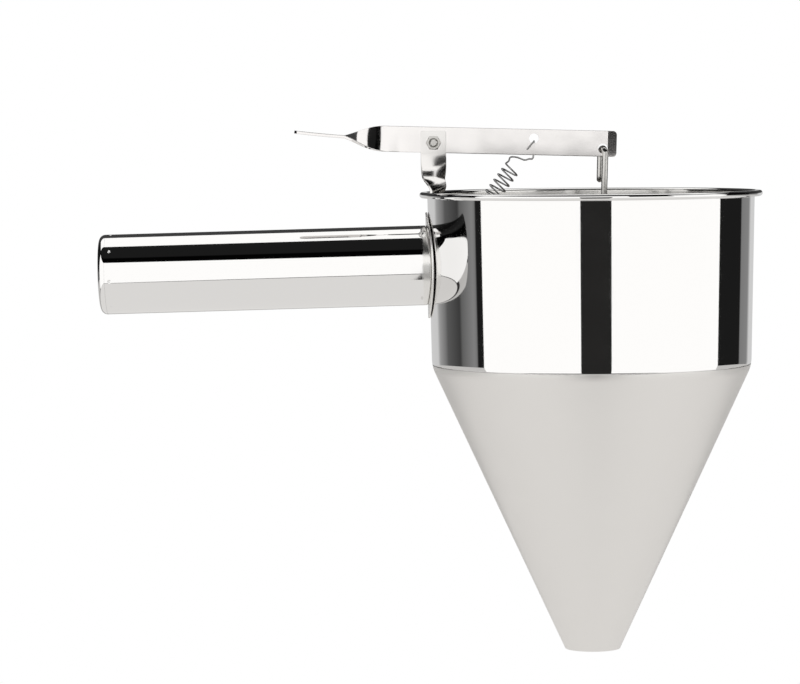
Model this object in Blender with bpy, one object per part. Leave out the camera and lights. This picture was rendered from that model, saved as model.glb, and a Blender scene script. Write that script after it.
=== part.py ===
"""Hand-held batter dispenser: a polished cup with a satin cone under it, a tube handle, and a
thumb lever that lifts a plug out of the outlet against a spring.

Sizes are in metres. +X runs from the handle to the funnel, +Y to the back, +Z up.
The origin is the middle of the handle, where the hand holds it. The funnel's own places are
written from its axis and the top of its rim, and funnel_place() says where that lies.
"""

from math import atan, atan2, ceil, cos, hypot, pi, radians, sin, sqrt, tan

import bmesh
import bpy
import numpy as np
from mathutils import Matrix, Vector

MM = 0.001

# Funnel: drafted cup with a rolled rim, round corner, cone and outlet
RIM_RADIUS = 70.0 * MM
RIM_STAND_OUT = 3.2 * MM
RIM_HEIGHT = 2.4 * MM
SHEET = 0.6 * MM
CUP_DRAFT = radians(1.2)
CORNER_DEPTH = 71.5 * MM
CORNER_RADIUS = 14.0 * MM
SEAM_RISE = 0.9 * MM
OUTLET_RADIUS = 11.3 * MM
FUNNEL_HEIGHT = 188.2 * MM

# Handle: a tube between two pressed caps, square to the cup wall
HANDLE_RADIUS = 16.3 * MM
HANDLE_LENGTH = 133.8 * MM
HANDLE_DROP = 29.9 * MM
TUBE_WALL = 0.5 * MM
CAP_SHEET = 0.6 * MM
CAP_LIP = 3.2 * MM
CAP_ROUND = 2.6 * MM
CAP_SKIRT = 9.0 * MM
SADDLE_HALF_HEIGHT = 21.7 * MM
SADDLE_HALF_WIDTH = 17.4 * MM
SADDLE_SHEET = 0.8 * MM
SADDLE_BEND_RADIUS = 100.0 * MM

# Thumb lever: an upright strip, twisted flat at its outer end to make the thumb pad
LEVER_HEIGHT = 10.6 * MM
LEVER_SHEET = 1.2 * MM
LEVER_TILT = radians(1.76)
LEVER_CENTRE_RISE = 1.2 * MM
LEVER_TIP_BEYOND_EYE = 5.6 * MM
LEVER_TIP_BENT = 3.7 * MM
LEVER_TIP_ANGLE = radians(12)
LEVER_TIP_CORNER = 1.5 * MM
TWIST_START = 17.9 * MM
TWIST_LENGTH = 18.5 * MM
TWIST_EVEN_SHARE = 0.7
PAD_LENGTH = 20.5 * MM
PAD_RISE = 1.9 * MM
PAD_CORNER = 3.0 * MM
PIVOT_HOLE_RADIUS = 1.65 * MM
SPRING_HOLE_RADIUS = 2.0 * MM
SPRING_HOLE_REACH = 41.1 * MM
SPRING_HOLE_RISE = 2.7 * MM
EYE_HOLE_RADIUS = 2.0 * MM
EYE_BEYOND_AXIS = 5.3 * MM
EYE_DROP = 0.8 * MM

# Pivot and the twisted bracket that carries it
PIVOT_INSET = 2.7 * MM
PIVOT_HEIGHT = 20.1 * MM
BOLT_RADIUS = 1.5 * MM
BOLT_HEAD_RADIUS = 2.9 * MM
BOLT_HEAD_HEIGHT = 2.2 * MM
BOLT_PROUD = 0.8 * MM
BOLT_CHAMFER = 0.3 * MM
RECESS_LENGTH = 3.2 * MM
RECESS_WIDTH = 0.8 * MM
RECESS_DEPTH = 1.3 * MM
NUT_ACROSS_FLATS = 5.5 * MM
NUT_HEIGHT = 2.4 * MM
NUT_BORE_GAP = 0.15 * MM
NUT_COUNTERSINK = 0.35 * MM
BRACKET_WIDTH = 10.4 * MM
BRACKET_SHEET = 1.2 * MM
BRACKET_ABOVE_PIVOT = 4.9 * MM
BRACKET_CORNER = 1.0 * MM
BRACKET_FLAT_BELOW_PIVOT = 4.6 * MM
BRACKET_TWIST_LENGTH = 25.0 * MM
BRACKET_SHIFT_TOP = 6.0 * MM
TAB_BEND_RADIUS = 2.5 * MM
TAB_HOLE_RADIUS = 1.6 * MM
TAB_HOLE_INSET = 5.6 * MM
TAB_HOLE_DEPTH = 28.4 * MM
TAB_EDGE = 3.5 * MM

# Return spring
WIRE_RADIUS = 0.35 * MM
COIL_RADIUS = 3.25 * MM
COIL_START = 5.0 * MM
COIL_TURNS = 15.5
LOWER_HOOK_RADIUS = 2.4 * MM
LOWER_HOOK_TIP = 1.6 * MM
UPPER_HOOK_REACH = 15.0 * MM
UPPER_HOOK_CLEARANCE = 0.3 * MM

# Bends of the wire before the coil and past its end, in coil radii to the right, to the back
# and along
LEAD_IN_SHARES = (-0.33, -0.17, -0.5)
HOOK_BEND_SHARES = (
    (-0.89, 0.15, 0.49),
    (-0.97, 0.35, 1.0),
    (-0.31, 0.5, 1.45),
    (0.63, 0.5, 1.73),
    (1.03, 0.45, 2.18),
)
HOOK_TIP_SHARES = (1.2, 1.4)

# Valve: a rod bent over the lever, and the plug that its lower end carries
ROD_RADIUS = 1.3 * MM
ROD_BEND_SIDE = 1.7 * MM
ROD_TAIL = 11.5 * MM
PLUG_OVERLAP = 1.7 * MM
PLUG_SEAT_GAP = 0.4 * MM
PLUG_LAND = 1.2 * MM
PLUG_SHOULDER = 3.0 * MM
PLUG_NOSE_RADIUS = 7.0 * MM
PLUG_NOSE_DEPTH = 3.6 * MM
PLUG_BOSS_RADIUS = 4.0 * MM
PLUG_BOSS_HEIGHT = 9.0 * MM
PLUG_BORE_GAP = 0.15 * MM
PLUG_EDGE = 0.4 * MM

# Clearances: between pieces that touch, beside the moving lever, and past a cut
SEAT_GAP = 0.2 * MM
LEVER_GAP = 0.3 * MM
WELD_GAP = 0.05 * MM
OVERRUN = 2.0 * MM
SAME_POINT = 0.001 * MM

FUNNEL_STEPS = 72
HANDLE_STEPS = 48
SMALL_STEPS = 24
CURL_POINTS = 9
SHARP_ANGLE = radians(30)

# The cone's slope and the places along the lever, which follow the funnel's size
WALL_TOP = RIM_RADIUS - RIM_STAND_OUT
CORNER_REACH = WALL_TOP - tan(CUP_DRAFT) * CORNER_DEPTH
CONE_HALF_ANGLE = atan((CORNER_REACH - OUTLET_RADIUS) / (FUNNEL_HEIGHT - CORNER_DEPTH))
PIVOT_REACH = WALL_TOP - PIVOT_INSET
EYE_REACH = PIVOT_REACH + EYE_BEYOND_AXIS
LEVER_TIP = EYE_REACH + LEVER_TIP_BEYOND_EYE
BRACKET_TOP = PIVOT_HEIGHT + BRACKET_ABOVE_PIVOT
BRACKET_TWIST_TOP = PIVOT_HEIGHT - BRACKET_FLAT_BELOW_PIVOT
PLUG_RADIUS = OUTLET_RADIUS + PLUG_OVERLAP

# Depths in Y of the flat pieces at the pivot, from the rod's own plane to the back
LEVER_FRONT = ROD_RADIUS + LEVER_GAP
LEVER_MIDDLE = LEVER_FRONT + LEVER_SHEET / 2
LEVER_BACK = LEVER_FRONT + LEVER_SHEET
BRACKET_BACK = LEVER_FRONT - LEVER_GAP
BRACKET_MIDDLE = BRACKET_BACK - BRACKET_SHEET / 2
BRACKET_FRONT = BRACKET_BACK - BRACKET_SHEET
BOLT_SEAT = LEVER_BACK + LEVER_GAP
NUT_SEAT = BRACKET_FRONT - SEAT_GAP
BOLT_END = NUT_SEAT - NUT_HEIGHT - BOLT_PROUD

X, Y, Z = Vector((1, 0, 0)), Vector((0, 1, 0)), Vector((0, 0, 1))


def smooth_share(share):
    """0 to 1 with level ends."""
    share = min(max(share, 0.0), 1.0)
    return share * share * (3 - 2 * share)


# Places worked out from the sizes


def wall_radius(height):
    """Outer radius of the drafted cup wall. Heights below the rim are negative."""
    return WALL_TOP + tan(CUP_DRAFT) * height


def inner_wall_radius(height):
    return wall_radius(height) - SHEET / cos(CUP_DRAFT)


def inner_cone_radius(height):
    above_outlet = height + FUNNEL_HEIGHT
    return OUTLET_RADIUS - SHEET / cos(CONE_HALF_ANGLE) + tan(CONE_HALF_ANGLE) * above_outlet


def saddle_stack():
    """How far the cup wall lies from the handle's root cap."""
    return SEAT_GAP + SADDLE_SHEET + SEAT_GAP


def funnel_place():
    """The funnel's axis and rim top, seen from the middle of the handle."""
    reach = HANDLE_LENGTH / 2 + saddle_stack()
    across = reach * cos(CUP_DRAFT) + wall_radius(-HANDLE_DROP)
    return Vector((across, 0, reach * sin(CUP_DRAFT) + HANDLE_DROP))


def pivot_place():
    return Vector((-PIVOT_REACH, 0, PIVOT_HEIGHT))


def lever_point(along, up, depth=0.0):
    """A point of the lever, given along and across its strip, in the funnel's frame."""
    along_lever = Vector((cos(LEVER_TILT), 0, -sin(LEVER_TILT)))
    up_lever = Vector((sin(LEVER_TILT), 0, cos(LEVER_TILT)))
    return pivot_place() + along_lever * along + up_lever * up + Y * depth


def eye_place():
    return lever_point(EYE_REACH, -EYE_DROP)


def plug_place():
    """Middle of the plug's widest circle when the valve is shut."""
    seat_radius = PLUG_RADIUS + PLUG_SEAT_GAP / cos(CONE_HALF_ANGLE)
    outlet_inside = inner_cone_radius(-FUNNEL_HEIGHT)
    rise = (seat_radius - outlet_inside) / tan(CONE_HALF_ANGLE)
    return Vector((0, 0, rise - FUNNEL_HEIGHT))


def rod_bend():
    """Sideways vector from the rod to its tail, behind the lever."""
    behind = LEVER_BACK + LEVER_GAP + ROD_RADIUS
    return Vector((-ROD_BEND_SIDE, behind, 0))


def rod_length():
    """From the eye's height to the plug's widest circle, along the rod."""
    side = rod_bend().x / 2
    return sqrt((plug_place() - eye_place()).length_squared - side * side)


def rod_lean():
    """Turn about Y that brings the plug under the middle of the funnel."""
    wanted = plug_place() - eye_place()
    side = -rod_bend().x / 2
    return atan2(-wanted.x, -wanted.z) + atan2(side, rod_length())


def spring_ends():
    """The tab's hole and the lever's hole."""
    reach = inner_wall_radius(-TAB_HOLE_DEPTH) - TAB_HOLE_INSET
    low = Vector((-reach, BRACKET_MIDDLE, -TAB_HOLE_DEPTH))
    high = lever_point(SPRING_HOLE_REACH, SPRING_HOLE_RISE, LEVER_MIDDLE)
    return low, high


def spring_directions():
    """Unit vectors up the spring, to its right and to its front."""
    low, high = spring_ends()
    along = high - low
    along.y = 0
    along.normalize()
    return along, Vector((along.z, 0, -along.x)), -Y


# Tools for making solids


def clear_scene():
    for old in list(bpy.data.objects):
        bpy.data.objects.remove(old)


def material(name, colour, roughness):
    """Stainless steel of one finish."""
    made = bpy.data.materials.new(name)
    made.use_nodes = True
    shader = made.node_tree.nodes["Principled BSDF"]
    shader.inputs["Base Color"].default_value = (*colour, 1)
    shader.inputs["Metallic"].default_value = 1
    shader.inputs["Roughness"].default_value = roughness
    made.diffuse_color = (*colour, 1)
    return made


def frame(name, place, turn_about_y=0.0):
    """An empty that carries the pieces of one frame."""
    empty = bpy.data.objects.new(name, None)
    empty.location = place
    empty.rotation_euler.y = turn_about_y
    bpy.context.scene.collection.objects.link(empty)
    return empty


def add_object(name, data, finish, parent, place=(0, 0, 0), turn=(0, 0, 0)):
    made = bpy.data.objects.new(name, data)
    if finish:
        data.materials.append(finish)
    made.parent = parent
    made.location = place
    made.rotation_euler = turn
    bpy.context.scene.collection.objects.link(made)
    return made


def mesh_of(name, bm):
    """A closed mesh with its faces out, shaded smooth with sharp edges kept."""
    bmesh.ops.remove_doubles(bm, verts=bm.verts, dist=SAME_POINT)
    bmesh.ops.recalc_face_normals(bm, faces=bm.faces)
    mesh = bpy.data.meshes.new(name)
    bm.to_mesh(mesh)
    bm.free()
    mesh.shade_smooth()
    mesh.set_sharp_from_angle(angle=SHARP_ANGLE)
    return mesh


def arc(centre, radius, start, end, steps, side=1):
    """Points on a round stretch, each with the normal of the sheet's outer side."""
    found = []
    for angle in np.linspace(start, end, steps + 1):
        normal = Vector((cos(angle), sin(angle)))
        found.append((Vector(centre) + normal * radius, normal * side))
    return found


def sheet_outline(path, thickness):
    """Closed outline of a sheet that follows a path of points with normals."""
    outside = [point + normal * thickness / 2 for point, normal in path]
    inside = [point - normal * thickness / 2 for point, normal in path]
    return outside + inside[::-1]


def turned(name, outline, steps, closed):
    """Mesh turned about Z from (radius, height) points. An open outline ends on the axis."""
    bm = bmesh.new()
    points = [bm.verts.new((point[0], 0, point[1])) for point in outline]
    ends = points[1:] + points[:1] if closed else points[1:]
    edges = [bm.edges.new(pair) for pair in zip(points, ends)]
    bmesh.ops.spin(
        bm,
        geom=points + edges,
        cent=(0, 0, 0),
        axis=(0, 0, 1),
        angle=2 * pi,
        steps=steps,
        use_merge=True,
    )
    return mesh_of(name, bm)


def strip(name, stations, thickness):
    """A flat strip swept through stations of (middle, across, face, half width)."""
    bm = bmesh.new()
    rings = []
    for middle, across, face, half_width in stations:
        half = face * thickness / 2
        side = across * half_width
        corners = (side + half, side - half, -side - half, -side + half)
        rings.append([bm.verts.new(middle + corner) for corner in corners])
    for ring, following in zip(rings, rings[1:]):
        for k in range(4):
            n = (k + 1) % 4
            bm.faces.new((ring[k], ring[n], following[n], following[k]))
    bm.faces.new(rings[0][::-1])
    bm.faces.new(rings[-1])
    return mesh_of(name, bm)


def corner_cut(distance, radius):
    """How much a rounded corner narrows a strip at a distance from its end."""
    inside = radius - min(distance, radius)
    return radius - sqrt(radius * radius - inside * inside)


def corner_distances(radius, steps=4):
    """Distances from a strip's end that follow a round corner evenly, the end first."""
    return [radius * (1 - cos(pi / 2 * k / steps)) for k in range(steps + 1)]


def wire(name, points, radius, resolution, finish, parent):
    """An unbroken round wire through the points, with closed ends."""
    curve = bpy.data.curves.new(name, "CURVE")
    curve.dimensions = "3D"
    curve.bevel_depth = radius
    curve.bevel_resolution = resolution
    curve.use_fill_caps = True
    spline = curve.splines.new("POLY")
    spline.points.add(len(points) - 1)
    for spot, point in zip(spline.points, points):
        spot.co = (*point, 1)
    return add_object(name, curve, finish, parent)


def cut(piece, cutter, operation="DIFFERENCE"):
    """Cuts a piece by a helper that is neither rendered nor built."""
    cutter.hide_render = True
    cutter.display_type = "WIRE"
    modifier = piece.modifiers.new(cutter.name, "BOOLEAN")
    modifier.operation = operation
    modifier.object = cutter


def drill(piece, name, place, along, radius, length):
    """A round hole through a piece, about a line through place."""
    bm = bmesh.new()
    bmesh.ops.create_cone(
        bm,
        cap_ends=True,
        segments=SMALL_STEPS,
        radius1=radius,
        radius2=radius,
        depth=length,
    )
    turn = Vector(along).to_track_quat("Z", "Y").to_matrix().to_4x4()
    bmesh.ops.transform(bm, matrix=turn, verts=bm.verts)
    cut(piece, add_object(name, mesh_of(name, bm), None, piece.parent, place))


def box_mesh(name, length, width, height):
    bm = bmesh.new()
    bmesh.ops.create_cube(bm, size=1)
    bmesh.ops.scale(bm, vec=(length, width, height), verts=bm.verts)
    return mesh_of(name, bm)


def smooth_route(points, steps):
    """A smooth curve through hand-set points, steps to each stretch."""
    ends = [points[0] * 2 - points[1], *points, points[-1] * 2 - points[-2]]
    route = []
    for a, b, c, d in zip(ends, ends[1:], ends[2:], ends[3:]):
        for k in range(steps):
            t = k / steps
            route.append(
                b
                + (c - a) * (t / 2)
                + (a * 2 - b * 5 + c * 4 - d) * (t * t / 2)
                + (b * 3 - a - c * 3 + d) * (t * t * t / 2)
            )
    return [*route, points[-1]]


# Funnel


def corner_arc_centre():
    """Centre of the round corner that touches the wall's line and the cone's line."""
    tangent = CORNER_RADIUS * tan((CONE_HALF_ANGLE - CUP_DRAFT) / 2)
    height = tangent * cos(CUP_DRAFT) - CORNER_DEPTH
    radius = wall_radius(height) - CORNER_RADIUS * cos(CUP_DRAFT)
    return Vector((radius, height + CORNER_RADIUS * sin(CUP_DRAFT)))


def seam_angle():
    """Where on the round corner the cup and the cone are welded."""
    centre = corner_arc_centre()
    drop = (CORNER_DEPTH - SEAM_RISE + centre.y) / CORNER_RADIUS
    return atan2(drop, sqrt(1 - drop * drop))


def rim_path():
    """Sheet path from the wall's top, out over the rim and back under it."""
    roll = (RIM_HEIGHT - SHEET) / 2
    wall = wall_radius(-RIM_HEIGHT / 2) - SHEET / 2
    outer = RIM_RADIUS - RIM_HEIGHT / 2
    path = arc((wall + roll, -RIM_HEIGHT / 2), roll, pi, pi / 2, 3, side=-1)
    path += arc((outer, -RIM_HEIGHT / 2), roll, pi / 2, -pi / 2, 6, side=-1)
    edge = wall + SHEET / 2 + SEAT_GAP
    path.append((Vector((edge, SHEET / 2 - RIM_HEIGHT)), path[-1][1]))
    return path


def make_cup(parent, finish):
    centre, seam = corner_arc_centre(), seam_angle()
    middle = CORNER_RADIUS - SHEET / 2
    path = arc(centre, middle, -seam, -CUP_DRAFT, 4)
    path = [(point + Vector((0, WELD_GAP / 2)), normal) for point, normal in path]
    outline = sheet_outline(path + rim_path(), SHEET)
    add_object("funnel_cup", turned("funnel_cup", outline, FUNNEL_STEPS, True), finish, parent)


def make_cone(parent, finish):
    centre, seam = corner_arc_centre(), seam_angle()
    middle = CORNER_RADIUS - SHEET / 2
    path = arc(centre, middle, -CONE_HALF_ANGLE, -seam, 2)
    path = [(point - Vector((0, WELD_GAP / 2)), normal) for point, normal in path]
    normal = Vector((cos(CONE_HALF_ANGLE), -sin(CONE_HALF_ANGLE)))
    outlet = Vector((OUTLET_RADIUS, -FUNNEL_HEIGHT)) - normal * SHEET / 2
    outlet += Vector((0, SHEET / 2 * sin(CONE_HALF_ANGLE)))
    outline = sheet_outline([(outlet, normal), *path], SHEET)
    level = -FUNNEL_HEIGHT
    outline[0] = Vector((OUTLET_RADIUS, level))
    outline[-1] = Vector((inner_cone_radius(level), level))
    add_object("funnel_cone", turned("funnel_cone", outline, FUNNEL_STEPS, True), finish, parent)


# Handle, whose own Z runs along it away from the funnel


def make_tube(parent, finish):
    half = HANDLE_LENGTH / 2 - CAP_LIP
    inside = HANDLE_RADIUS - TUBE_WALL
    outline = [(HANDLE_RADIUS, half), (HANDLE_RADIUS, -half), (inside, -half), (inside, half)]
    add_object("handle_tube", turned("handle_tube", outline, HANDLE_STEPS, True), finish, parent)


def make_cap(name, parent, finish, turn):
    """A pressed cap: round lip flush with the tube, and a skirt inside it."""
    face = HANDLE_LENGTH / 2
    seat = face - CAP_LIP + SEAT_GAP
    skirt = HANDLE_RADIUS - TUBE_WALL - SEAT_GAP
    inner = skirt - CAP_SHEET
    edge = (HANDLE_RADIUS - CAP_ROUND, face - CAP_ROUND)
    outline = [Vector((0, face))]
    outline += [point for point, _ in arc(edge, CAP_ROUND, pi / 2, 0, 5)]
    outline += [
        Vector((HANDLE_RADIUS, seat)),
        Vector((skirt, seat)),
        Vector((skirt, face - CAP_SKIRT)),
        Vector((inner, face - CAP_SKIRT)),
        Vector((inner, face - CAP_SHEET)),
        Vector((0, face - CAP_SHEET)),
    ]
    mesh = turned(name, outline, HANDLE_STEPS, False)
    add_object(name, mesh, finish, parent, turn=(turn, 0, 0))


def make_saddle(parent, finish):
    """Oval plate between the handle and the cup, bent part of the way round the cup."""
    top = -HANDLE_LENGTH / 2 - SEAT_GAP
    rings = 5
    radii = [SADDLE_HALF_HEIGHT * k / rings for k in range(rings + 1)]
    outline = [(radius, top) for radius in radii]
    outline += [(radius, top - SADDLE_SHEET) for radius in radii[::-1]]
    mesh = turned("saddle_plate", outline, HANDLE_STEPS, False)
    for spot in mesh.vertices:
        spot.co.y *= SADDLE_HALF_WIDTH / SADDLE_HALF_HEIGHT
        side = spot.co.y
        spot.co.z += sqrt(SADDLE_BEND_RADIUS**2 - side * side) - SADDLE_BEND_RADIUS
    add_object("saddle_plate", mesh, finish, parent)


# Lever, whose own frame lies along its strip with the pivot at its origin


def lever_stations():
    """From the tip over the cup to the thumb pad's end."""
    half = LEVER_HEIGHT / 2
    pad_end = TWIST_START + TWIST_LENGTH + PAD_LENGTH
    tip_bend = LEVER_TIP - LEVER_TIP_BENT
    places = [LEVER_TIP - d for d in corner_distances(LEVER_TIP_CORNER)]
    places += [tip_bend, -TWIST_START]
    twist_steps = 12
    places += [-TWIST_START - TWIST_LENGTH * (k + 1) / twist_steps for k in range(twist_steps)]
    pad_steps = 5
    flat = PAD_LENGTH - PAD_CORNER
    places += [flat * (-(k + 1) / pad_steps) - TWIST_START - TWIST_LENGTH for k in range(pad_steps)]
    places += [d - pad_end for d in corner_distances(PAD_CORNER)[-2::-1]]
    stations = []
    for along in places:
        share = min(max((-along - TWIST_START) / TWIST_LENGTH, 0), 1)
        turned_share = share * TWIST_EVEN_SHARE + smooth_share(share) * (1 - TWIST_EVEN_SHARE)
        angle = pi / 2 * turned_share
        past = max(-along - TWIST_START, 0) / (pad_end - TWIST_START)
        rise = LEVER_CENTRE_RISE + PAD_RISE * past * past
        slope = atan2(2 * PAD_RISE * past, pad_end - TWIST_START)
        up = Vector((sin(slope), 0, cos(slope)))
        back = max(along - tip_bend, 0) * tan(LEVER_TIP_ANGLE)
        across = up * cos(angle) + Y * sin(angle)
        face = up * sin(angle) - Y * cos(angle)
        cut_off = corner_cut(LEVER_TIP - along, LEVER_TIP_CORNER)
        cut_off += corner_cut(along + pad_end, PAD_CORNER)
        middle = Vector((along, LEVER_MIDDLE + back, rise))
        stations.append((middle, across, face, half - cut_off))
    return stations


def make_lever(parent, finish):
    mesh = strip("lever", lever_stations(), LEVER_SHEET)
    lever = add_object("lever", mesh, finish, parent)
    holes = (
        ("pivot_hole", 0, 0, PIVOT_HOLE_RADIUS),
        ("spring_hole", SPRING_HOLE_REACH, SPRING_HOLE_RISE, SPRING_HOLE_RADIUS),
        ("eye_hole", EYE_REACH, -EYE_DROP, EYE_HOLE_RADIUS),
    )
    for name, along, up, radius in holes:
        place = (along, LEVER_MIDDLE, up)
        drill(lever, name, place, Y, radius, LEVER_SHEET + OVERRUN)


# Bracket, bolt and nut


def bracket_middle(height, angle):
    """X of the twisting strip's middle: its leading edge stays just inside the cup wall."""
    half = BRACKET_WIDTH / 2
    radius = inner_wall_radius(min(height, 0))
    edge = half * sin(angle) + abs(BRACKET_MIDDLE)
    wall = sqrt(radius * radius - edge * edge) - SEAT_GAP
    leaning = half * cos(angle) + BRACKET_SHEET / 2 * sin(angle) - wall
    share = smooth_share(1 - height / BRACKET_SHIFT_TOP)
    return leaning * share - PIVOT_REACH * (1 - share)


def tab_corner():
    """Where the strip's line down the wall meets the tab's line."""
    low, _ = spring_ends()
    _, right, _ = spring_directions()
    top = -BRACKET_TWIST_LENGTH
    wall = bracket_middle(top, pi / 2)
    slope = (bracket_middle(top * 2, pi / 2) - wall) / top
    reach = (low.x - wall - (low.z - top) * slope) / (right.x - right.z * slope)
    return low - right * reach, Vector((-slope, 0, -1)).normalized()


def bracket_stations():
    """From the plate at the pivot, down through the twist and the wall, to the spring tab."""
    half = BRACKET_WIDTH / 2
    heights = [BRACKET_TOP - d for d in corner_distances(BRACKET_CORNER, 3)]
    twist_steps = 12
    for k in range(twist_steps + 1):
        heights.append(BRACKET_TWIST_TOP - BRACKET_TWIST_LENGTH * k / twist_steps)
    stations = []
    for height in heights:
        share = smooth_share((BRACKET_TWIST_TOP - height) / BRACKET_TWIST_LENGTH)
        angle = pi / 2 * share
        across = X * cos(angle) + Y * sin(angle)
        face = X * sin(angle) - Y * cos(angle)
        middle = Vector((bracket_middle(height, angle), BRACKET_MIDDLE, height))
        cut_off = corner_cut(BRACKET_TOP - height, BRACKET_CORNER)
        stations.append((middle, across, face, half - cut_off))
    corner, down = tab_corner()
    low, _ = spring_ends()
    _, right, _ = spring_directions()
    bend = down.angle(right)
    tangent = TAB_BEND_RADIUS * tan(bend / 2)
    inward = Vector((-down.z, 0, down.x))
    centre = corner - down * tangent + inward * TAB_BEND_RADIUS
    bend_steps = 5
    for k in range(bend_steps + 1):
        turn = bend * k / bend_steps
        face = inward * cos(turn) - down * sin(turn)
        stations.append((centre - face * TAB_BEND_RADIUS, Y, face, half))
    for back in corner_distances(BRACKET_CORNER, 3)[::-1]:
        middle = low + right * (TAB_EDGE - back)
        stations.append((middle, Y, face, half - corner_cut(back, BRACKET_CORNER)))
    return stations


def make_bracket(parent, finish):
    mesh = strip("pivot_bracket", bracket_stations(), BRACKET_SHEET)
    bracket = add_object("pivot_bracket", mesh, finish, parent)
    place = pivot_place() + Y * BRACKET_MIDDLE
    length = BRACKET_SHEET + OVERRUN
    drill(bracket, "bolt_hole", place, Y, PIVOT_HOLE_RADIUS, length)
    low, _ = spring_ends()
    drill(bracket, "tab_hole", low, spring_directions()[0], TAB_HOLE_RADIUS, length)


def make_bolt(parent, finish):
    """Small pan-head screw from behind the lever, its own Z to the back."""
    reach = BOLT_SEAT - BOLT_END
    shoulder = BOLT_HEAD_HEIGHT / 2
    outline = [(0, BOLT_HEAD_HEIGHT)]
    steps = 4
    for k in range(steps + 1):
        angle = pi / 2 * (1 - k / steps)
        radius = BOLT_HEAD_RADIUS / 2 * (1 + cos(angle))
        outline.append((radius, shoulder + (BOLT_HEAD_HEIGHT - shoulder) * sin(angle)))
    outline += [
        (BOLT_HEAD_RADIUS, 0),
        (BOLT_RADIUS, 0),
        (BOLT_RADIUS, BOLT_CHAMFER - reach),
        (BOLT_RADIUS - BOLT_CHAMFER, -reach),
        (0, -reach),
    ]
    place = pivot_place() + Y * BOLT_SEAT
    mesh = turned("pivot_bolt", outline, SMALL_STEPS, False)
    turn = (-pi / 2, 0, 0)
    bolt = add_object("pivot_bolt", mesh, finish, parent, place, turn)
    top = place + Y * BOLT_HEAD_HEIGHT
    for name, size in (
        ("recess_across", (RECESS_LENGTH, RECESS_WIDTH)),
        ("recess_up", (RECESS_WIDTH, RECESS_LENGTH)),
    ):
        slot = box_mesh(name, *size, RECESS_DEPTH * 2)
        cut(bolt, add_object(name, slot, None, parent, top, turn))


def make_nut(name, parent, finish, place, turn, bore_radius):
    """Hexagon nut with both ends chamfered and countersunk, its own Z up from its seat."""
    corner = NUT_ACROSS_FLATS / 2 / cos(pi / 6)
    chamfer = (corner - NUT_ACROSS_FLATS / 2) * tan(pi / 6)
    steps = 6
    bm = bmesh.new()
    bmesh.ops.create_cone(
        bm, cap_ends=True, segments=steps, radius1=corner, radius2=corner, depth=NUT_HEIGHT
    )
    quarter = Matrix.Rotation(pi / 6, 4, "Z") @ Matrix.Translation(Z * NUT_HEIGHT / 2)
    bmesh.ops.transform(bm, matrix=quarter, verts=bm.verts)
    nut = add_object(name, mesh_of(name, bm), finish, parent, place, turn)
    across = NUT_ACROSS_FLATS / 2
    round_body = [
        (bore_radius + NUT_COUNTERSINK, 0),
        (across, 0),
        (corner, chamfer),
        (corner, NUT_HEIGHT - chamfer),
        (across, NUT_HEIGHT),
        (bore_radius + NUT_COUNTERSINK, NUT_HEIGHT),
        (bore_radius, NUT_HEIGHT - NUT_COUNTERSINK),
        (bore_radius, NUT_COUNTERSINK),
    ]
    body_name = name + "_round"
    body = turned(body_name, round_body, SMALL_STEPS * 2, True)
    cut(nut, add_object(body_name, body, None, parent, place, turn), "INTERSECT")


# Return spring


def spring_points():
    low, high = spring_ends()
    along, right, front = spring_directions()
    hook_turn = 10
    centre = low + right * LOWER_HOOK_RADIUS - along * (BRACKET_SHEET / 2 + WIRE_RADIUS)
    points = [centre + right * LOWER_HOOK_RADIUS + along * LOWER_HOOK_TIP]
    for k in range(hook_turn + 1):
        angle = pi * k / hook_turn
        points.append(centre + (right * cos(angle) - along * sin(angle)) * LOWER_HOOK_RADIUS)
    rise = (high - low).dot(along) - COIL_START - UPPER_HOOK_REACH
    drift = Y * (LEVER_MIDDLE - BRACKET_MIDDLE)
    start = low + along * COIL_START
    first = start + right * COIL_RADIUS
    side, back, reach = LEAD_IN_SHARES
    lead_in = first + (right * side - front * back + along * reach) * COIL_RADIUS
    bend = [points[-1], low + along * (COIL_START / 2), lead_in, first]
    points += smooth_route(bend, 3)[1:-1]
    count = ceil(CURL_POINTS * COIL_TURNS)
    for k in range(count + 1):
        share = k / count
        angle = 2 * pi * COIL_TURNS * share
        radius = (right * cos(angle) + front * sin(angle)) * COIL_RADIUS
        points.append(start + along * (rise * share) + drift * share + radius)
    top = start + along * rise + drift
    return points + upper_hook(points[-1], top, high)


def upper_hook(last, top, hole):
    """The long hand-bent hook: off the coil, behind the lever and out through its hole."""
    along, right, front = spring_directions()
    behind = LEVER_SHEET / 2 + UPPER_HOOK_CLEARANCE + WIRE_RADIUS
    drop = SPRING_HOLE_RADIUS - WIRE_RADIUS - UPPER_HOOK_CLEARANCE
    edge = LEVER_HEIGHT / 2 + SPRING_HOLE_RISE - LEVER_CENTRE_RISE + WIRE_RADIUS
    under = hole - Z * (edge + UPPER_HOOK_CLEARANCE * 2) + Y * behind
    bends = [
        top + (right * side - front * back + along * reach) * COIL_RADIUS
        for side, back, reach in HOOK_BEND_SHARES
    ]
    back_of_hole = hole - Z * (drop + WIRE_RADIUS) + Y * behind
    front_of_hole = hole - Z * (drop + WIRE_RADIUS / 2) - X * WIRE_RADIUS - Y * behind
    left, down = HOOK_TIP_SHARES
    tip = front_of_hole - (X * left + Z * down) * SPRING_HOLE_RADIUS
    route = [last, *bends, under - X * WIRE_RADIUS, back_of_hole]
    route += [hole - Z * drop, front_of_hole, tip]
    return smooth_route(route, 4)[1:]


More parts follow.
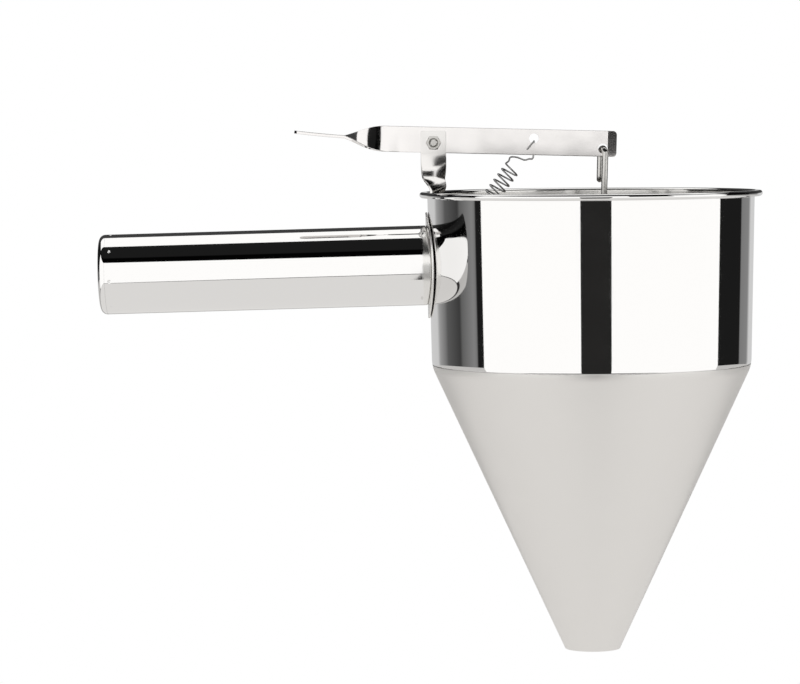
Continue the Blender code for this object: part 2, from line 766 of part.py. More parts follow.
def least_gap_to_itself(points, wire_radius):
    """Clear distance between stretches of the wire that aren't neighbours along it."""
    fine = []
    for a, b in zip(points, points[1:]):
        count = max(1, ceil((b - a).length / wire_radius))
        fine += [a + (b - a) * (k / count) for k in range(count)]
    spots = np.array([tuple(point) for point in fine])
    steps = np.linalg.norm(np.diff(spots, axis=0), axis=1)
    length = np.concatenate([[0], np.cumsum(steps)])
    apart = np.linalg.norm(spots[:, None] - spots[None], axis=2)
    along = np.abs(length[:, None] - length[None])
    return apart[along > COIL_RADIUS * 1.5].min() - 2 * wire_radius


def make_spring(parent, finish):
    points = spring_points()
    wire("return_spring", points, WIRE_RADIUS, 1, finish, parent)
    gap = least_gap_to_itself(points, WIRE_RADIUS)
    print(f"return_spring: least gap to itself {gap / MM:.2f} mm")


# Valve, whose own frame hangs from the lever's eye, with the rod upright in it


def make_rod(parent, finish):
    bend = rod_bend()
    radius = bend.length / 2
    sideways = bend.normalized()
    middle = Y * LEVER_MIDDLE - Z * radius
    tail_bottom = middle + sideways * radius - Z * ROD_TAIL
    points = [tail_bottom]
    steps = 10
    for k in range(steps + 1):
        angle = pi * k / steps
        points.append(middle + sideways * (radius * cos(angle)) + Z * (radius * sin(angle)))
    points.append(Vector((points[-1].x, points[-1].y, PLUG_BORE_GAP - rod_length())))
    wire("valve_rod", points, ROD_RADIUS, 4, finish, parent)


def plug_middle():
    bend = rod_bend()
    return Vector((-bend.x / 2, LEVER_MIDDLE - bend.y / 2, -rod_length()))


def make_plug(parent, finish):
    """Turned plug that seats on its upper edge, with a boss that takes the rod's end."""
    bore = ROD_RADIUS + PLUG_BORE_GAP
    outline = [
        (0, 0),
        (bore, 0),
        (bore, PLUG_BOSS_HEIGHT),
        (PLUG_BOSS_RADIUS, PLUG_BOSS_HEIGHT),
        (PLUG_BOSS_RADIUS, PLUG_SHOULDER),
        (PLUG_RADIUS - PLUG_EDGE, PLUG_LAND),
        (PLUG_RADIUS, PLUG_LAND - PLUG_EDGE),
        (PLUG_RADIUS, 0),
        (PLUG_NOSE_RADIUS, -PLUG_NOSE_DEPTH + PLUG_EDGE),
        (PLUG_NOSE_RADIUS - PLUG_EDGE, -PLUG_NOSE_DEPTH),
        (0, -PLUG_NOSE_DEPTH),
    ]
    mesh = turned("valve_plug", outline, HANDLE_STEPS, False)
    add_object("valve_plug", mesh, finish, parent, plug_middle())


def main():
    clear_scene()
    polished = material("polished_steel", (0.80, 0.80, 0.80), 0.06)
    satin = material("satin_steel", (0.74, 0.72, 0.70), 0.35)
    strip_steel = material("strip_steel", (0.78, 0.77, 0.76), 0.12)
    spring_steel = material("spring_steel", (0.60, 0.60, 0.60), 0.25)
    rod_steel = material("rod_steel", (0.68, 0.67, 0.66), 0.22)

    funnel = frame("funnel_frame", funnel_place())
    handle = frame("handle_frame", (0, 0, 0), -pi / 2 - CUP_DRAFT)
    pivot = frame("lever_pivot_frame", funnel_place() + pivot_place(), LEVER_TILT)
    eye = frame("rod_eye_frame", funnel_place() + eye_place(), rod_lean())

    make_cup(funnel, polished)
    make_cone(funnel, satin)
    make_tube(handle, polished)
    make_cap("handle_end_cap", handle, polished, 0)
    make_cap("handle_root_cap", handle, polished, pi)
    make_saddle(handle, polished)
    make_bracket(funnel, strip_steel)
    make_bolt(funnel, rod_steel)
    nut_place = pivot_place() + Y * NUT_SEAT
    bore = BOLT_RADIUS + NUT_BORE_GAP
    make_nut("pivot_nut", funnel, rod_steel, nut_place, (pi / 2, 0, 0), bore)
    make_lever(pivot, strip_steel)
    make_spring(funnel, spring_steel)
    make_rod(eye, rod_steel)
    make_plug(eye, rod_steel)
    lock_place = plug_middle() + Z * (PLUG_BOSS_HEIGHT + SEAT_GAP)
    make_nut("plug_lock_nut", eye, rod_steel, lock_place, (0, 0, 0), ROD_RADIUS + NUT_BORE_GAP)


main()
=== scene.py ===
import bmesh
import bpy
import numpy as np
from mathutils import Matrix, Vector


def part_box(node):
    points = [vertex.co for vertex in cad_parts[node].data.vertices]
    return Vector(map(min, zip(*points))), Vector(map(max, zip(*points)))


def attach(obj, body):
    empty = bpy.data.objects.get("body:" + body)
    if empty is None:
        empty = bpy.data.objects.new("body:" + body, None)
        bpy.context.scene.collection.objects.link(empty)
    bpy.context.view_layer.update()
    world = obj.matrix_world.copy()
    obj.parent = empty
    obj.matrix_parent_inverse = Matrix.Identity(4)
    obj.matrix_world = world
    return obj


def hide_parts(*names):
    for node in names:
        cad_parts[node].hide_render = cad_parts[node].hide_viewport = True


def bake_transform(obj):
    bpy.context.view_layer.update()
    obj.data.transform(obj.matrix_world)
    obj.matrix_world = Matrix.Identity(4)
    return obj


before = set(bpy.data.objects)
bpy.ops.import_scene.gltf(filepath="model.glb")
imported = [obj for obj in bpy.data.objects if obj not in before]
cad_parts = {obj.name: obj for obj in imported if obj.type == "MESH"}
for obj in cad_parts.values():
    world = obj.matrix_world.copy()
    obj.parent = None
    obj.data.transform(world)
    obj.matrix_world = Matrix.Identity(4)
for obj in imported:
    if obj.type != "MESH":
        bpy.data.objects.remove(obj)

# Looks of a hand-held batter dispenser: a mirror-polished cup with a satin cone under it, a polished
# tube handle, and a thumb lever that lifts a plug against a spring. Lengths are in metres.
# Funnel coordinates start on the funnel's axis at the top of its rim: x away from the handle, y to
# the back and z up.

MM = 0.001
MICRON = 0.001 * MM

# Funnel
RIM_RADIUS = 70.0 * MM
RIM_STAND_OUT = 3.2 * MM
RIM_HEIGHT = 2.4 * MM
RIM_FOLD = 0.2 * MM
SHEET = 0.6 * MM
CUP_DRAFT = np.radians(1.2)
CORNER_DEPTH = 71.5 * MM
SEAM_RISE = 0.9 * MM
CORNER_RADIUS = 14.0 * MM
OUTLET_RADIUS = 11.3 * MM
FUNNEL_HEIGHT = 188.2 * MM
SEAM_GROOVE = 0.12 * MM
SEAM_GROOVE_TURN = np.radians(0.8)
SEAM_GAP = 0.02 * MM
FLAT_HOLD = 0.08 * MM
FUNNEL_SIDES = 256

# Handle
HANDLE_RADIUS = 16.3 * MM
HANDLE_LENGTH = 133.8 * MM
TUBE_WALL = 0.5 * MM
CAP_LIP = 3.2 * MM
CAP_ROUND = 2.6 * MM
CAP_DOME = 0.35 * MM
CAP_SKIRT = 9.0 * MM
CAP_SEAM = 0.05 * MM
DIMPLE_RADIUS = 0.75 * MM
DIMPLE_DEPTH = 0.35 * MM
DIMPLE_INSET = 2.0 * MM
DIMPLE_ROWS_SHARE = 1.2
END_DIMPLES = 8
END_DIMPLE_TURN = np.radians(7.9)
ROOT_ROUND = 0.5 * MM
ROOT_GAP = 0.05 * MM
ROOT_SEAM = 0.03 * MM
ROOT_LIP = 2.0 * MM
ROOT_GROUND_FROM = 2.2 * MM
ROOT_GROUND_OVER = 1.2 * MM
ROOT_DENT_ANGLES = np.radians([-53, 52, 128, -127])
ROOT_DENT_PLACE = 0.4 * MM
ROOT_DENT_REACH = 1.2 * MM
ROOT_DENT_ROWS = 1.6 * MM
ROOT_DENT_HALF_HEIGHT = 2.0 * MM
ROOT_DENT_DEPTH = 0.45 * MM
TUBE_ROW_STEP = 2.0 * MM
HANDLE_SIDES = 720
CAP_SIDES = 192
SADDLE_HALF_HEIGHT = 21.7 * MM
SADDLE_HALF_WIDTH = 17.4 * MM
SADDLE_SHEET = 0.8 * MM
SADDLE_BEND_RADIUS = 76.0 * MM

# Lever
LEVER_HEIGHT = 10.6 * MM
LEVER_SHEET = 1.2 * MM
LEVER_TILT = np.radians(1.76)
LEVER_CENTRE_RISE = 1.2 * MM
LEVER_TIP_PAST_EYE = 5.6 * MM
LEVER_TIP_BENT = 3.7 * MM
LEVER_TIP_BEND_REACH = 1.0 * MM
LEVER_TIP_ANGLE = np.radians(12)
LEVER_TIP_CORNER = 1.5 * MM
TWIST_START = 17.9 * MM
TWIST_LENGTH = 18.5 * MM
EVEN_TWIST_SHARE = 0.7
PAD_LENGTH = 20.5 * MM
PAD_RISE = 1.9 * MM
PAD_CORNER = 3.0 * MM
PIVOT_HOLE_RADIUS = 1.65 * MM
SPRING_HOLE_RADIUS = 2.0 * MM
SPRING_HOLE_REACH = 41.1 * MM
SPRING_HOLE_RISE = 2.7 * MM
EYE_HOLE_RADIUS = 2.0 * MM
EYE_PAST_AXIS = 5.3 * MM
EYE_DROP = 0.8 * MM
EDGE_ROUND = 0.18 * MM
FLAT_HOLD_SHARE = 0.4

# Pivot and bracket
PIVOT_HEIGHT = 20.1 * MM
PIVOT_INSET = 2.7 * MM
BOLT_RADIUS = 1.5 * MM
BOLT_HEAD_RADIUS = 2.9 * MM
BOLT_HEAD_HEIGHT = 2.2 * MM
BOLT_PROUD = 0.8 * MM
BOLT_CHAMFER = 0.3 * MM
NUT_HEIGHT = 2.4 * MM
NUT_CHAMFER = 0.8 * MM
NUT_CHAMFER_SLOPE = 0.75
NUT_CHAMFER_SHARES = np.array([0, 0.25, 0.5, 0.75, 1, 1.25])
NUT_FACE_SHARE = 0.93
NUT_BORE = 1.62 * MM
NUT_COUNTERSINK = 0.3 * MM
NUT_SIDES = 240
BRACKET_WIDTH = 10.4 * MM
BRACKET_SHEET = 1.2 * MM
BRACKET_CORNER = 1.0 * MM
BRACKET_PAST_PIVOT = 4.9 * MM
BRACKET_TWIST_DROP = 4.6 * MM
BRACKET_TWIST_LENGTH = 25.0 * MM
BRACKET_SHIFT_TOP = 6.0 * MM
TAB_BEND_RADIUS = 2.5 * MM
TAB_BEND_STEPS = 12
TAB_HOLE_RADIUS = 1.6 * MM
TAB_HOLE_INSET = 5.6 * MM
TAB_HOLE_DEPTH = 28.4 * MM
TAB_EDGE = 3.5 * MM

# Spring, whose bends are shares of the coil's radius to the right, to the back and along
WIRE_RADIUS = 0.35 * MM
WIRE_SIDES = 14
COIL_RADIUS = 3.25 * MM
COIL_START = 5.0 * MM
COIL_TURNS = 15.5
COIL_TURN_STEPS = 40
LOWER_HOOK_RADIUS = 2.4 * MM
LOWER_HOOK_TIP = 1.6 * MM
UPPER_HOOK_REACH = 15.0 * MM
UPPER_HOOK_CLEARANCE = 0.3 * MM
LEAD_IN_SHARES = np.array([-0.33, -0.17, -0.5])
HOOK_BEND_SHARES = np.array(
    [
        [-0.89, 0.15, 0.49],
        [-0.97, 0.35, 1.0],
        [-0.31, 0.5, 1.45],
        [0.63, 0.5, 1.73],
        [1.03, 0.45, 2.18],
    ]
)
HOOK_TIP_LEFT_SHARE = 1.2
HOOK_TIP_DOWN_SHARE = 1.4

# Valve
ROD_RADIUS = 1.3 * MM
ROD_SIDES = 24
ROD_BEND_SIDE = 1.7 * MM
ROD_TAIL = 11.5 * MM
PLUG_OVERLAP = 1.7 * MM
PLUG_SEAT_GAP = 0.4 * MM

SEAT_GAP = 0.2 * MM
LEVER_GAP = 0.3 * MM
OVERRUN = 2.0 * MM
MERGE = 0.0001 * MM
SHARP_ANGLE = np.radians(32)

WALL_TOP = RIM_RADIUS - RIM_STAND_OUT
PIVOT_REACH = WALL_TOP - PIVOT_INSET
EYE_REACH = PIVOT_REACH + EYE_PAST_AXIS
LEVER_TIP = EYE_REACH + LEVER_TIP_PAST_EYE
BRACKET_TOP = PIVOT_HEIGHT + BRACKET_PAST_PIVOT
BRACKET_TWIST_TOP = PIVOT_HEIGHT - BRACKET_TWIST_DROP

LEVER_FRONT = ROD_RADIUS + LEVER_GAP
LEVER_MIDDLE = LEVER_FRONT + LEVER_SHEET / 2
LEVER_BACK = LEVER_FRONT + LEVER_SHEET
BRACKET_BACK = LEVER_FRONT - LEVER_GAP
BRACKET_MIDDLE = BRACKET_BACK - BRACKET_SHEET / 2
BRACKET_FRONT = BRACKET_BACK - BRACKET_SHEET
BOLT_SEAT = LEVER_BACK + LEVER_GAP
BOLT_END = BRACKET_FRONT - SEAT_GAP - NUT_HEIGHT - BOLT_PROUD

X, Y, Z = np.eye(3)
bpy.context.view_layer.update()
CUP_LOW, CUP_HIGH = (np.array(corner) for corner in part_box("funnel_cup"))
FUNNEL = np.array([(CUP_LOW[0] + CUP_HIGH[0]) / 2, 0, CUP_HIGH[2]])
HANDLE_AXIS = np.array([-np.cos(CUP_DRAFT), 0, -np.sin(CUP_DRAFT)])

# Finishes, where an inner side and a ground weld each have a colour and a roughness. The cup's
# darker inner colour is painted shade inside the bowl; its roughness is a real rougher finish.
MIRROR = (0.86, 0.855, 0.85)
CUP_INSIDE_SHADE_AND_FINISH = ((0.74, 0.73, 0.71), 0.12)
ROOT_WELD = ((0.84, 0.83, 0.81), 0.24)
SMEAR_SCALE = 90.0
SMEAR_DETAIL = 4.0
SMEAR_SPAN = (0.3, 0.7)
MARK_SCALES = (900.0, 900.0, 60.0)

# Stage: cards stand round the funnel at azimuths in degrees, 0 towards the viewer and positive to
# the right. Their heights and radii, and the floor's, are in metres in the frame.
SOFT_BOX_COLOUR = (1.0, 0.995, 0.985)
SOFT_BOX_STRENGTH = 1.15
FLAG_COLOUR = (1.0, 0.98, 0.95)
FLAG_STRENGTH = 0.02
CARD_COLUMNS = 24
SOFT_BOX = {"azimuths": (-82, 94.4), "heights": (-0.235, 0.40), "radius": 0.62}
FRONT_FLAG = {"azimuths": (-9.7, 9.9), "heights": (-0.30, 0.041), "radius": 0.38}
TIP_FLAG = {"azimuths": (18, 44), "heights": (0.039, 0.14), "radius": 0.20}
TOP_BOX = {"low": (-0.7, -0.02), "high": (0.9, 0.75), "height": 0.8}
FLOOR_HEIGHT = -0.35
FLOOR_RADIUS = 2.4
FLOOR_INNER_RADIUS = 0.5
FLOOR_SIDES = 96
FLOOR_COLOUR = (0.85, 0.845, 0.84, 1)
FLOOR_MIRRORED_COLOUR = (1.0, 0.985, 0.965, 1)
FLOOR_NEAR = 0.80
FLOOR_RING = 0.03
FLOOR_FAR = 0.59
RING_INNER_EDGE = (0.84, 0.86)
RING_OUTER_EDGE = (0.97, 1.0)
SHADOW_EDGE = (0.25, 0.9)
SHADOW_WHITE_SHARES = (0.85, 1.0)

# The room's greys round the object by azimuth, and the shares of them from the horizon up, where
# heights are those of unit directions
ROOM_GREYS = (
    (-180, 0.62),
    (-148, 0.64),
    (-143, 0.36),
    (-132, 0.20),
    (-128, 0.11),
    (-111, 0.05),
    (-108.5, 0.13),
    (-95, 0.25),
    (-92.5, 0.19),
    (-91.5, 0.012),
    (95, 0.012),
    (128, 0.012),
    (129.5, 0.22),
    (144.5, 0.25),
    (150, 0.66),
    (180, 0.62),
)
BAND_BOTTOM_EDGE = (0.02, 0.05)
BAND_TOP_EDGE = (0.74, 0.78)
BAND_SHARE = 0.08

# Camera
LENS_MM = 154
SENSOR_MM = 36
NEAR_CLIP = 0.05
CAMERA_PLACE = np.array([-78.4, -1400, 28.0]) * MM
CAMERA_DIP = np.radians(3.65)
CAMERA_TURN = np.radians(-0.47)


# Numbers and curves


def unit(vector):
    """Vectors divided by their lengths."""
    return vector / np.linalg.norm(vector, axis=-1, keepdims=True)


def smooth_share(share):
    """0 to 1 with level ends: three times the square less twice the cube."""
    share = np.clip(share, 0, 1)
    return share * share * (3 - 2 * share)


def even_turn(steps):
    """Evenly spaced angles of a full turn, the first of them 0."""
    return np.arange(steps) * 2 * np.pi / steps


def arc(centre, radius, start, end, steps):
    """Points on a circle: centre plus radius times (cos, sin) of evenly spaced angles."""
    angle = np.linspace(start, end, steps + 1)
    return np.stack([centre[0] + radius * np.cos(angle), centre[1] + radius * np.sin(angle)], 1)


def smooth_route(points, steps):
    """Catmull-Rom curve: each stretch is the cubic through its two points whose slopes at them
    follow the line between their neighbours."""
    points = np.array(points)
    ends = np.vstack([2 * points[0] - points[1], points, 2 * points[-1] - points[-2]])
    before, start, end, after = (ends[row : len(ends) - 3 + row, None] for row in range(4))
    share = np.arange(steps)[None, :, None] / steps
    curve = start + (end - before) * share / 2
    curve = curve + (2 * before - 5 * start + 4 * end - after) * share**2 / 2
    curve = curve + (3 * start - before - 3 * end + after) * share**3 / 2
    return np.vstack([curve.reshape(-1, 3), points[-1:]])


# Surfaces


def surface(name, grid, material, around=False, along=False):
    """A mesh through a grid of points, quad by quad. around joins the last column to the first and
    along the last row to the first. Rows that shrink to one point close into a pole."""
    rows, columns = grid.shape[:2]
    index = np.arange(rows * columns).reshape(rows, columns)
    if around:
        index = np.hstack([index, index[:, :1]])
    if along:
        index = np.vstack([index, index[:1]])
    corners = (index[:-1, :-1], index[1:, :-1], index[1:, 1:], index[:-1, 1:])
    quads = np.stack(corners, -1).reshape(-1, 4)
    mesh = bpy.data.meshes.new(name)
    mesh.from_pydata(grid.reshape(-1, 3), [], quads)
    shell = bmesh.new()
    shell.from_mesh(mesh)
    bmesh.ops.remove_doubles(shell, verts=shell.verts, dist=MERGE)
    bmesh.ops.recalc_face_normals(shell, faces=shell.faces)
    shell.to_mesh(mesh)
    shell.free()
    mesh.shade_smooth()
    mesh.set_sharp_from_angle(angle=SHARP_ANGLE)
    piece = bpy.data.objects.new(name, mesh)
    bpy.context.scene.collection.objects.link(piece)
    if material:
        mesh.materials.append(material)
    return piece


def belongs(piece, body, slot, *nodes):
    """The piece rides on a body and stands for the nodes, which are hidden. slot is not used."""
    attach(piece, body)
    if nodes:
        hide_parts(*nodes)
    return piece


def points_of(piece):
    """A piece's points, one to a row."""
    points = np.empty(len(piece.data.vertices) * 3)
    piece.data.vertices.foreach_get("co", points)
    return points.reshape(-1, 3)


def mark_unpolished_and_shade(piece, shares):
    """Keeps on each point of a piece how unpolished it is, and on the cup's inner side where painted
    shade goes, for its steel to read.
    """
    marks = piece.data.attributes.new("unpolished", "FLOAT", "POINT")
    marks.data.foreach_set("value", shares.astype(float))


def turned(profile, steps, origin, axis, side):
    """Grid turned about an axis: origin + radius (side cos a + third sin a) + height axis, for each
    (radius, height) of the profile."""
    third = np.cross(axis, side)
    angle = even_turn(steps)
    circle = np.cos(angle)[:, None] * side + np.sin(angle)[:, None] * third
    return origin + profile[:, None, :1] * circle[None] + profile[:, None, 1:] * axis


def tube(path, radius, sides):
    """Grid round a path: each ring lies square to the path, and its frame is carried along without
    twisting. Past each end of the path a few rings, at shares of the radius, close it as a dome."""
    off_axis = [0.3, 0.5, 0.8]
    dome_shares = np.array([0.0, 0.5, 0.87])
    tangent = unit(np.gradient(path, axis=0))
    side = unit(np.cross(tangent[0], off_axis))
    frames = []
    for direction in tangent:
        side = unit(side - direction * (side @ direction))
        frames.append(side)
    frames = np.array(frames)
    out = np.sqrt(1 - dome_shares**2) * radius
    first = path[0] - np.outer(out, tangent[0])
    last = path[-1] + np.outer(out, tangent[-1])
    path = np.vstack([first, path, last[::-1]])
    rings = len(dome_shares)
    shares = np.concatenate([dome_shares, np.ones(len(frames)), dome_shares[::-1]])
    frames = np.vstack([[frames[0]] * rings, frames, [frames[-1]] * rings])
    tangent = np.vstack([[tangent[0]] * rings, tangent, [tangent[-1]] * rings])
    angle = even_turn(sides)[None, :, None]
    third = np.cross(tangent, frames)
    ring = np.cos(angle) * frames[:, None] + np.sin(angle) * third[:, None]
    return path[:, None] + ring * (shares * radius)[:, None, None]


def strip(middle, across, face, half_width, thickness):
    """Grid round a flat strip: at each station a rectangle with rounded corners, half_width along
    across and half the thickness along face. A point just inside each flat keeps it shaded flat.
    The ends close to their middles."""
    turn = np.radians([0, 30, 60, 90])
    quarter = np.stack([np.cos(turn), np.sin(turn)], 1)
    quarter = np.vstack([[1, -FLAT_HOLD_SHARE], quarter, [-FLAT_HOLD_SHARE, 1]])
    signs = np.array([[1, 1], [-1, 1], [-1, -1], [1, -1]])
    corners = [quarter, quarter[::-1], quarter, quarter[::-1]]
    offsets = np.vstack([corner * sign for corner, sign in zip(corners, signs)]) * EDGE_ROUND
    base = np.repeat(signs, len(quarter), axis=0)
    wide = base[None, :, :1] * (half_width[:, None, None] - EDGE_ROUND) + offsets[None, :, :1]
    thick = base[None, :, 1:] * (thickness / 2 - EDGE_ROUND) + offsets[None, :, 1:]
    grid = middle[:, None] + wide * across[:, None] + thick * face[:, None]
    ends = [np.repeat(middle[row][None, None], grid.shape[1], axis=1) for row in (0, -1)]
    return np.concatenate([ends[0], grid, ends[1]])


def bored(piece, bores):
    """Cuts round holes of (place, direction, radius, length), each by a cylinder turned about its
    direction, and keeps the cut mesh."""
    off_axis = [0.31, 0.52, 0.79]
    cutters = []
    for number, (place, direction, radius, length) in enumerate(bores):
        side = unit(np.cross(direction, off_axis))
        half = length / 2
        rim = np.array([[0, -half], [radius, -half], [radius, half], [0, half]])
        grid = turned(rim, 64, place, direction, side)
        cutter = surface(f"{piece.name}_bore_{number}", grid, None, around=True)
        modifier = piece.modifiers.new(cutter.name, "BOOLEAN")
        modifier.object = cutter
        cutters.append(cutter)
    depsgraph = bpy.context.evaluated_depsgraph_get()
    cut = bpy.data.meshes.new_from_object(piece.evaluated_get(depsgraph))
    piece.modifiers.clear()
    piece.data = cut
    cut.name = piece.name
    cut.set_sharp_from_angle(angle=SHARP_ANGLE)
    for cutter in cutters:
        bpy.data.objects.remove(cutter)
    return piece


def corner_cut(distance, radius):
    """How much a rounded corner narrows a strip at a distance from its end."""
    inside = radius - np.clip(distance, 0, radius)
    return radius - np.sqrt(radius**2 - inside**2)


def corner_distances(radius, steps=10):
    """Distances from a strip's end that follow a round corner evenly, the end first."""
    return radius * (1 - np.cos(np.linspace(0, np.pi / 2, steps + 1)))


# Materials


def feed(tree, socket, value):
    """Links a node's output to a socket, or sets the socket to a plain value."""
    if hasattr(value, "is_output"):
        tree.links.new(value, socket)
    else:
        socket.default_value = value


def add(tree, kind, inputs, **settings):
    """A new node with its inputs fed and its settings made."""
    node = tree.nodes.new(kind)
    for key, value in settings.items():
        setattr(node, key, value)
    for key, value in inputs.items():
        feed(tree, node.inputs[key], value)
    return node


def ramp(tree, value, span, out):
    """A value carried from one range to another and held inside it."""
    inputs = {"Value": value, "From Min": span[0], "From Max": span[1]}
    inputs.update({"To Min": out[0], "To Max": out[1]})
    return add(tree, "ShaderNodeMapRange", inputs).outputs["Result"]


def new_material(name):
    """A material and its node tree."""
    material = bpy.data.materials.new(name)
    material.use_nodes = True
    return material, material.node_tree


def bump(tree, height, depth, normal=None):
    """A surface raised by a texture's height times a depth, over a normal that is already bent."""
    inputs = {"Height": height, "Distance": depth, "Strength": 1.0}
    if normal:
        inputs["Normal"] = normal
    return add(tree, "ShaderNodeBump", inputs).outputs["Normal"]


def steel(name, colour, roughness, spread, swell_scale, swell_depth, mark_depth, inside=None):
    """Stainless steel: its roughness wanders by the spread, a broad swell bends its reflections, and
    fine rubbing marks cross it. inside gives the colour and roughness where a piece's
    unpolished attribute is 1: on the cup a darker colour, painted shade inside the bowl,
    with a real rougher finish; at the handle's root a ground weld's own colour and roughness."""
    material, tree = new_material(name)
    shader = tree.nodes["Principled BSDF"].inputs
    place = add(tree, "ShaderNodeTexCoord", {}).outputs["Object"]
    smear = {"Vector": place, "Scale": SMEAR_SCALE, "Detail": SMEAR_DETAIL}
    smear = add(tree, "ShaderNodeTexNoise", smear).outputs["Fac"]
    finish = ramp(tree, smear, SMEAR_SPAN, (roughness - spread, roughness + spread))
    feed(tree, shader["Base Color"], (*colour, 1))
    feed(tree, shader["Metallic"], 1.0)
    if inside:
        mark = add(tree, "ShaderNodeAttribute", {}, attribute_name="unpolished").outputs["Fac"]
        # On the cup this inner colour is painted shade inside the bowl; at the root it is the weld's
        # own colour.
        tint = {"Factor": mark, 6: (*colour, 1), 7: (*inside[0], 1)}
        tint = add(tree, "ShaderNodeMix", tint, data_type="RGBA")
        feed(tree, shader["Base Color"], tint.outputs[2])
        finish = add(tree, "ShaderNodeMix", {"Factor": mark, 2: finish, 3: inside[1]}).outputs[0]
    feed(tree, shader["Roughness"], finish)
    swell = {"Vector": place, "Scale": swell_scale, "Detail": 1.0}
    swell = add(tree, "ShaderNodeTexNoise", swell).outputs["Fac"]
    stretched = add(tree, "ShaderNodeMapping", {"Vector": place, "Scale": MARK_SCALES})
    marks = {"Vector": stretched.outputs["Vector"], "Scale": 1.0, "Detail": 2.0}
    marks = add(tree, "ShaderNodeTexNoise", marks).outputs["Fac"]
    bent = bump(tree, marks, mark_depth, bump(tree, swell, swell_depth))
    feed(tree, shader["Normal"], bent)
    return material


# Each steel: colour, roughness and its spread, the swell's scale and depth, the marks' depth
POLISHED = steel("polished_steel", MIRROR, 0.035, 0.015, 22.0, 30 * MICRON, 0.4 * MICRON)
CUP_STEEL = steel("cup_steel", MIRROR, 0.035, 0.015, 22.0, 30 * MICRON, 0.4 * MICRON, CUP_INSIDE_SHADE_AND_FINISH)
SATIN = steel("satin_steel", (0.87, 0.855, 0.835), 0.42, 0.03, 18.0, 30 * MICRON, 4 * MICRON)
SATIN_BRACKET = steel("bracket_steel", (0.80, 0.785, 0.77), 0.13, 0.03, 60.0, 30 * MICRON, MICRON)
ROOT_STEEL = steel("root_steel", MIRROR, 0.035, 0.015, 60.0, 60 * MICRON, 2 * MICRON, ROOT_WELD)
GROUND = steel("ground_steel", (0.84, 0.83, 0.81), 0.26, 0.08, 60.0, 60 * MICRON, 6 * MICRON)
STRIP = steel("strip_steel", (0.84, 0.82, 0.81), 0.11, 0.03, 60.0, 30 * MICRON, MICRON)
SPRING_WIRE = steel("spring_steel", (0.46, 0.46, 0.46), 0.26, 0.05, 90.0, 20 * MICRON, MICRON)
ROD = steel("rod_steel", (0.60, 0.59, 0.57), 0.20, 0.05, 70.0, 20 * MICRON, MICRON)
NUT_STEEL = steel("nut_steel", (0.56, 0.55, 0.53), 0.14, 0.04, 70.0, 20 * MICRON, MICRON)


# Funnel


def cup_wall(height):
    """Outer radius of the drafted cup wall: a straight line that narrows downwards."""
    return WALL_TOP + np.tan(CUP_DRAFT) * height


def cone_slope():
    """How much the cone's radius grows for each unit of height."""
    return (cup_wall(-CORNER_DEPTH) - OUTLET_RADIUS) / (FUNNEL_HEIGHT - CORNER_DEPTH)


CONE_HALF_ANGLE = np.arctan(cone_slope())


def inner_cup_wall(height):
    """The wall's outer radius less the sheet, measured level."""
    return cup_wall(height) - SHEET / np.cos(CUP_DRAFT)


def inner_cone(height):
    """Inner radius of the cone: a straight line from the outlet's less the sheet."""
    inside = OUTLET_RADIUS - SHEET / np.cos(CONE_HALF_ANGLE)
    return inside + cone_slope() * (height + FUNNEL_HEIGHT)


def corner_centre():
    """Centre of the round corner, which touches the wall's line and the cone's line."""
    tangent = CORNER_RADIUS * np.tan((CONE_HALF_ANGLE - CUP_DRAFT) / 2)
    height = tangent * np.cos(CUP_DRAFT) - CORNER_DEPTH
    radius = cup_wall(height) - CORNER_RADIUS * np.cos(CUP_DRAFT)
    return radius, height + CORNER_RADIUS * np.sin(CUP_DRAFT)


def seam_angle():
    """How far down the round corner the seam between cup and cone lies."""
    return np.arcsin((CORNER_DEPTH - SEAM_RISE + corner_centre()[1]) / CORNER_RADIUS)


def seam_groove():
    """The one point at the bottom of the fine groove that the seam leaves."""
    return arc(corner_centre(), CORNER_RADIUS - SEAM_GROOVE, -seam_angle(), -seam_angle(), 1)[:1]


def mark_inner_side(piece):
    """The unpolished attribute is 1 where a point lies inside the middle of the sheet: inside
    the wall's middle line down to the corner, inside the corner's middle circle below, and inside
    the cone's middle line nearer to the axis. On the cup it brings a rougher finish and painted
    shade."""
    points = points_of(piece) - FUNNEL
    radius = np.hypot(points[:, 0], points[:, 1])
    height = points[:, 2]
    centre = corner_centre()
    wall = radius < cup_wall(height) - SHEET / 2
    corner = np.hypot(radius - centre[0], height - centre[1]) < CORNER_RADIUS - SHEET / 2
    cone = radius < inner_cone(height) + SHEET / 2
    inner = np.where(height > centre[1], wall, np.where(radius > centre[0], corner, cone))
    mark_unpolished_and_shade(piece, inner)


def funnel_piece(name, profile, material, slot):
    """A closed outline turned about the funnel's axis, with its inner side marked."""
    grid = turned(profile, FUNNEL_SIDES, FUNNEL, Z, X)
    piece = surface(name, grid, material, around=True, along=True)
    mark_inner_side(piece)
    return belongs(piece, "holder", slot, name)


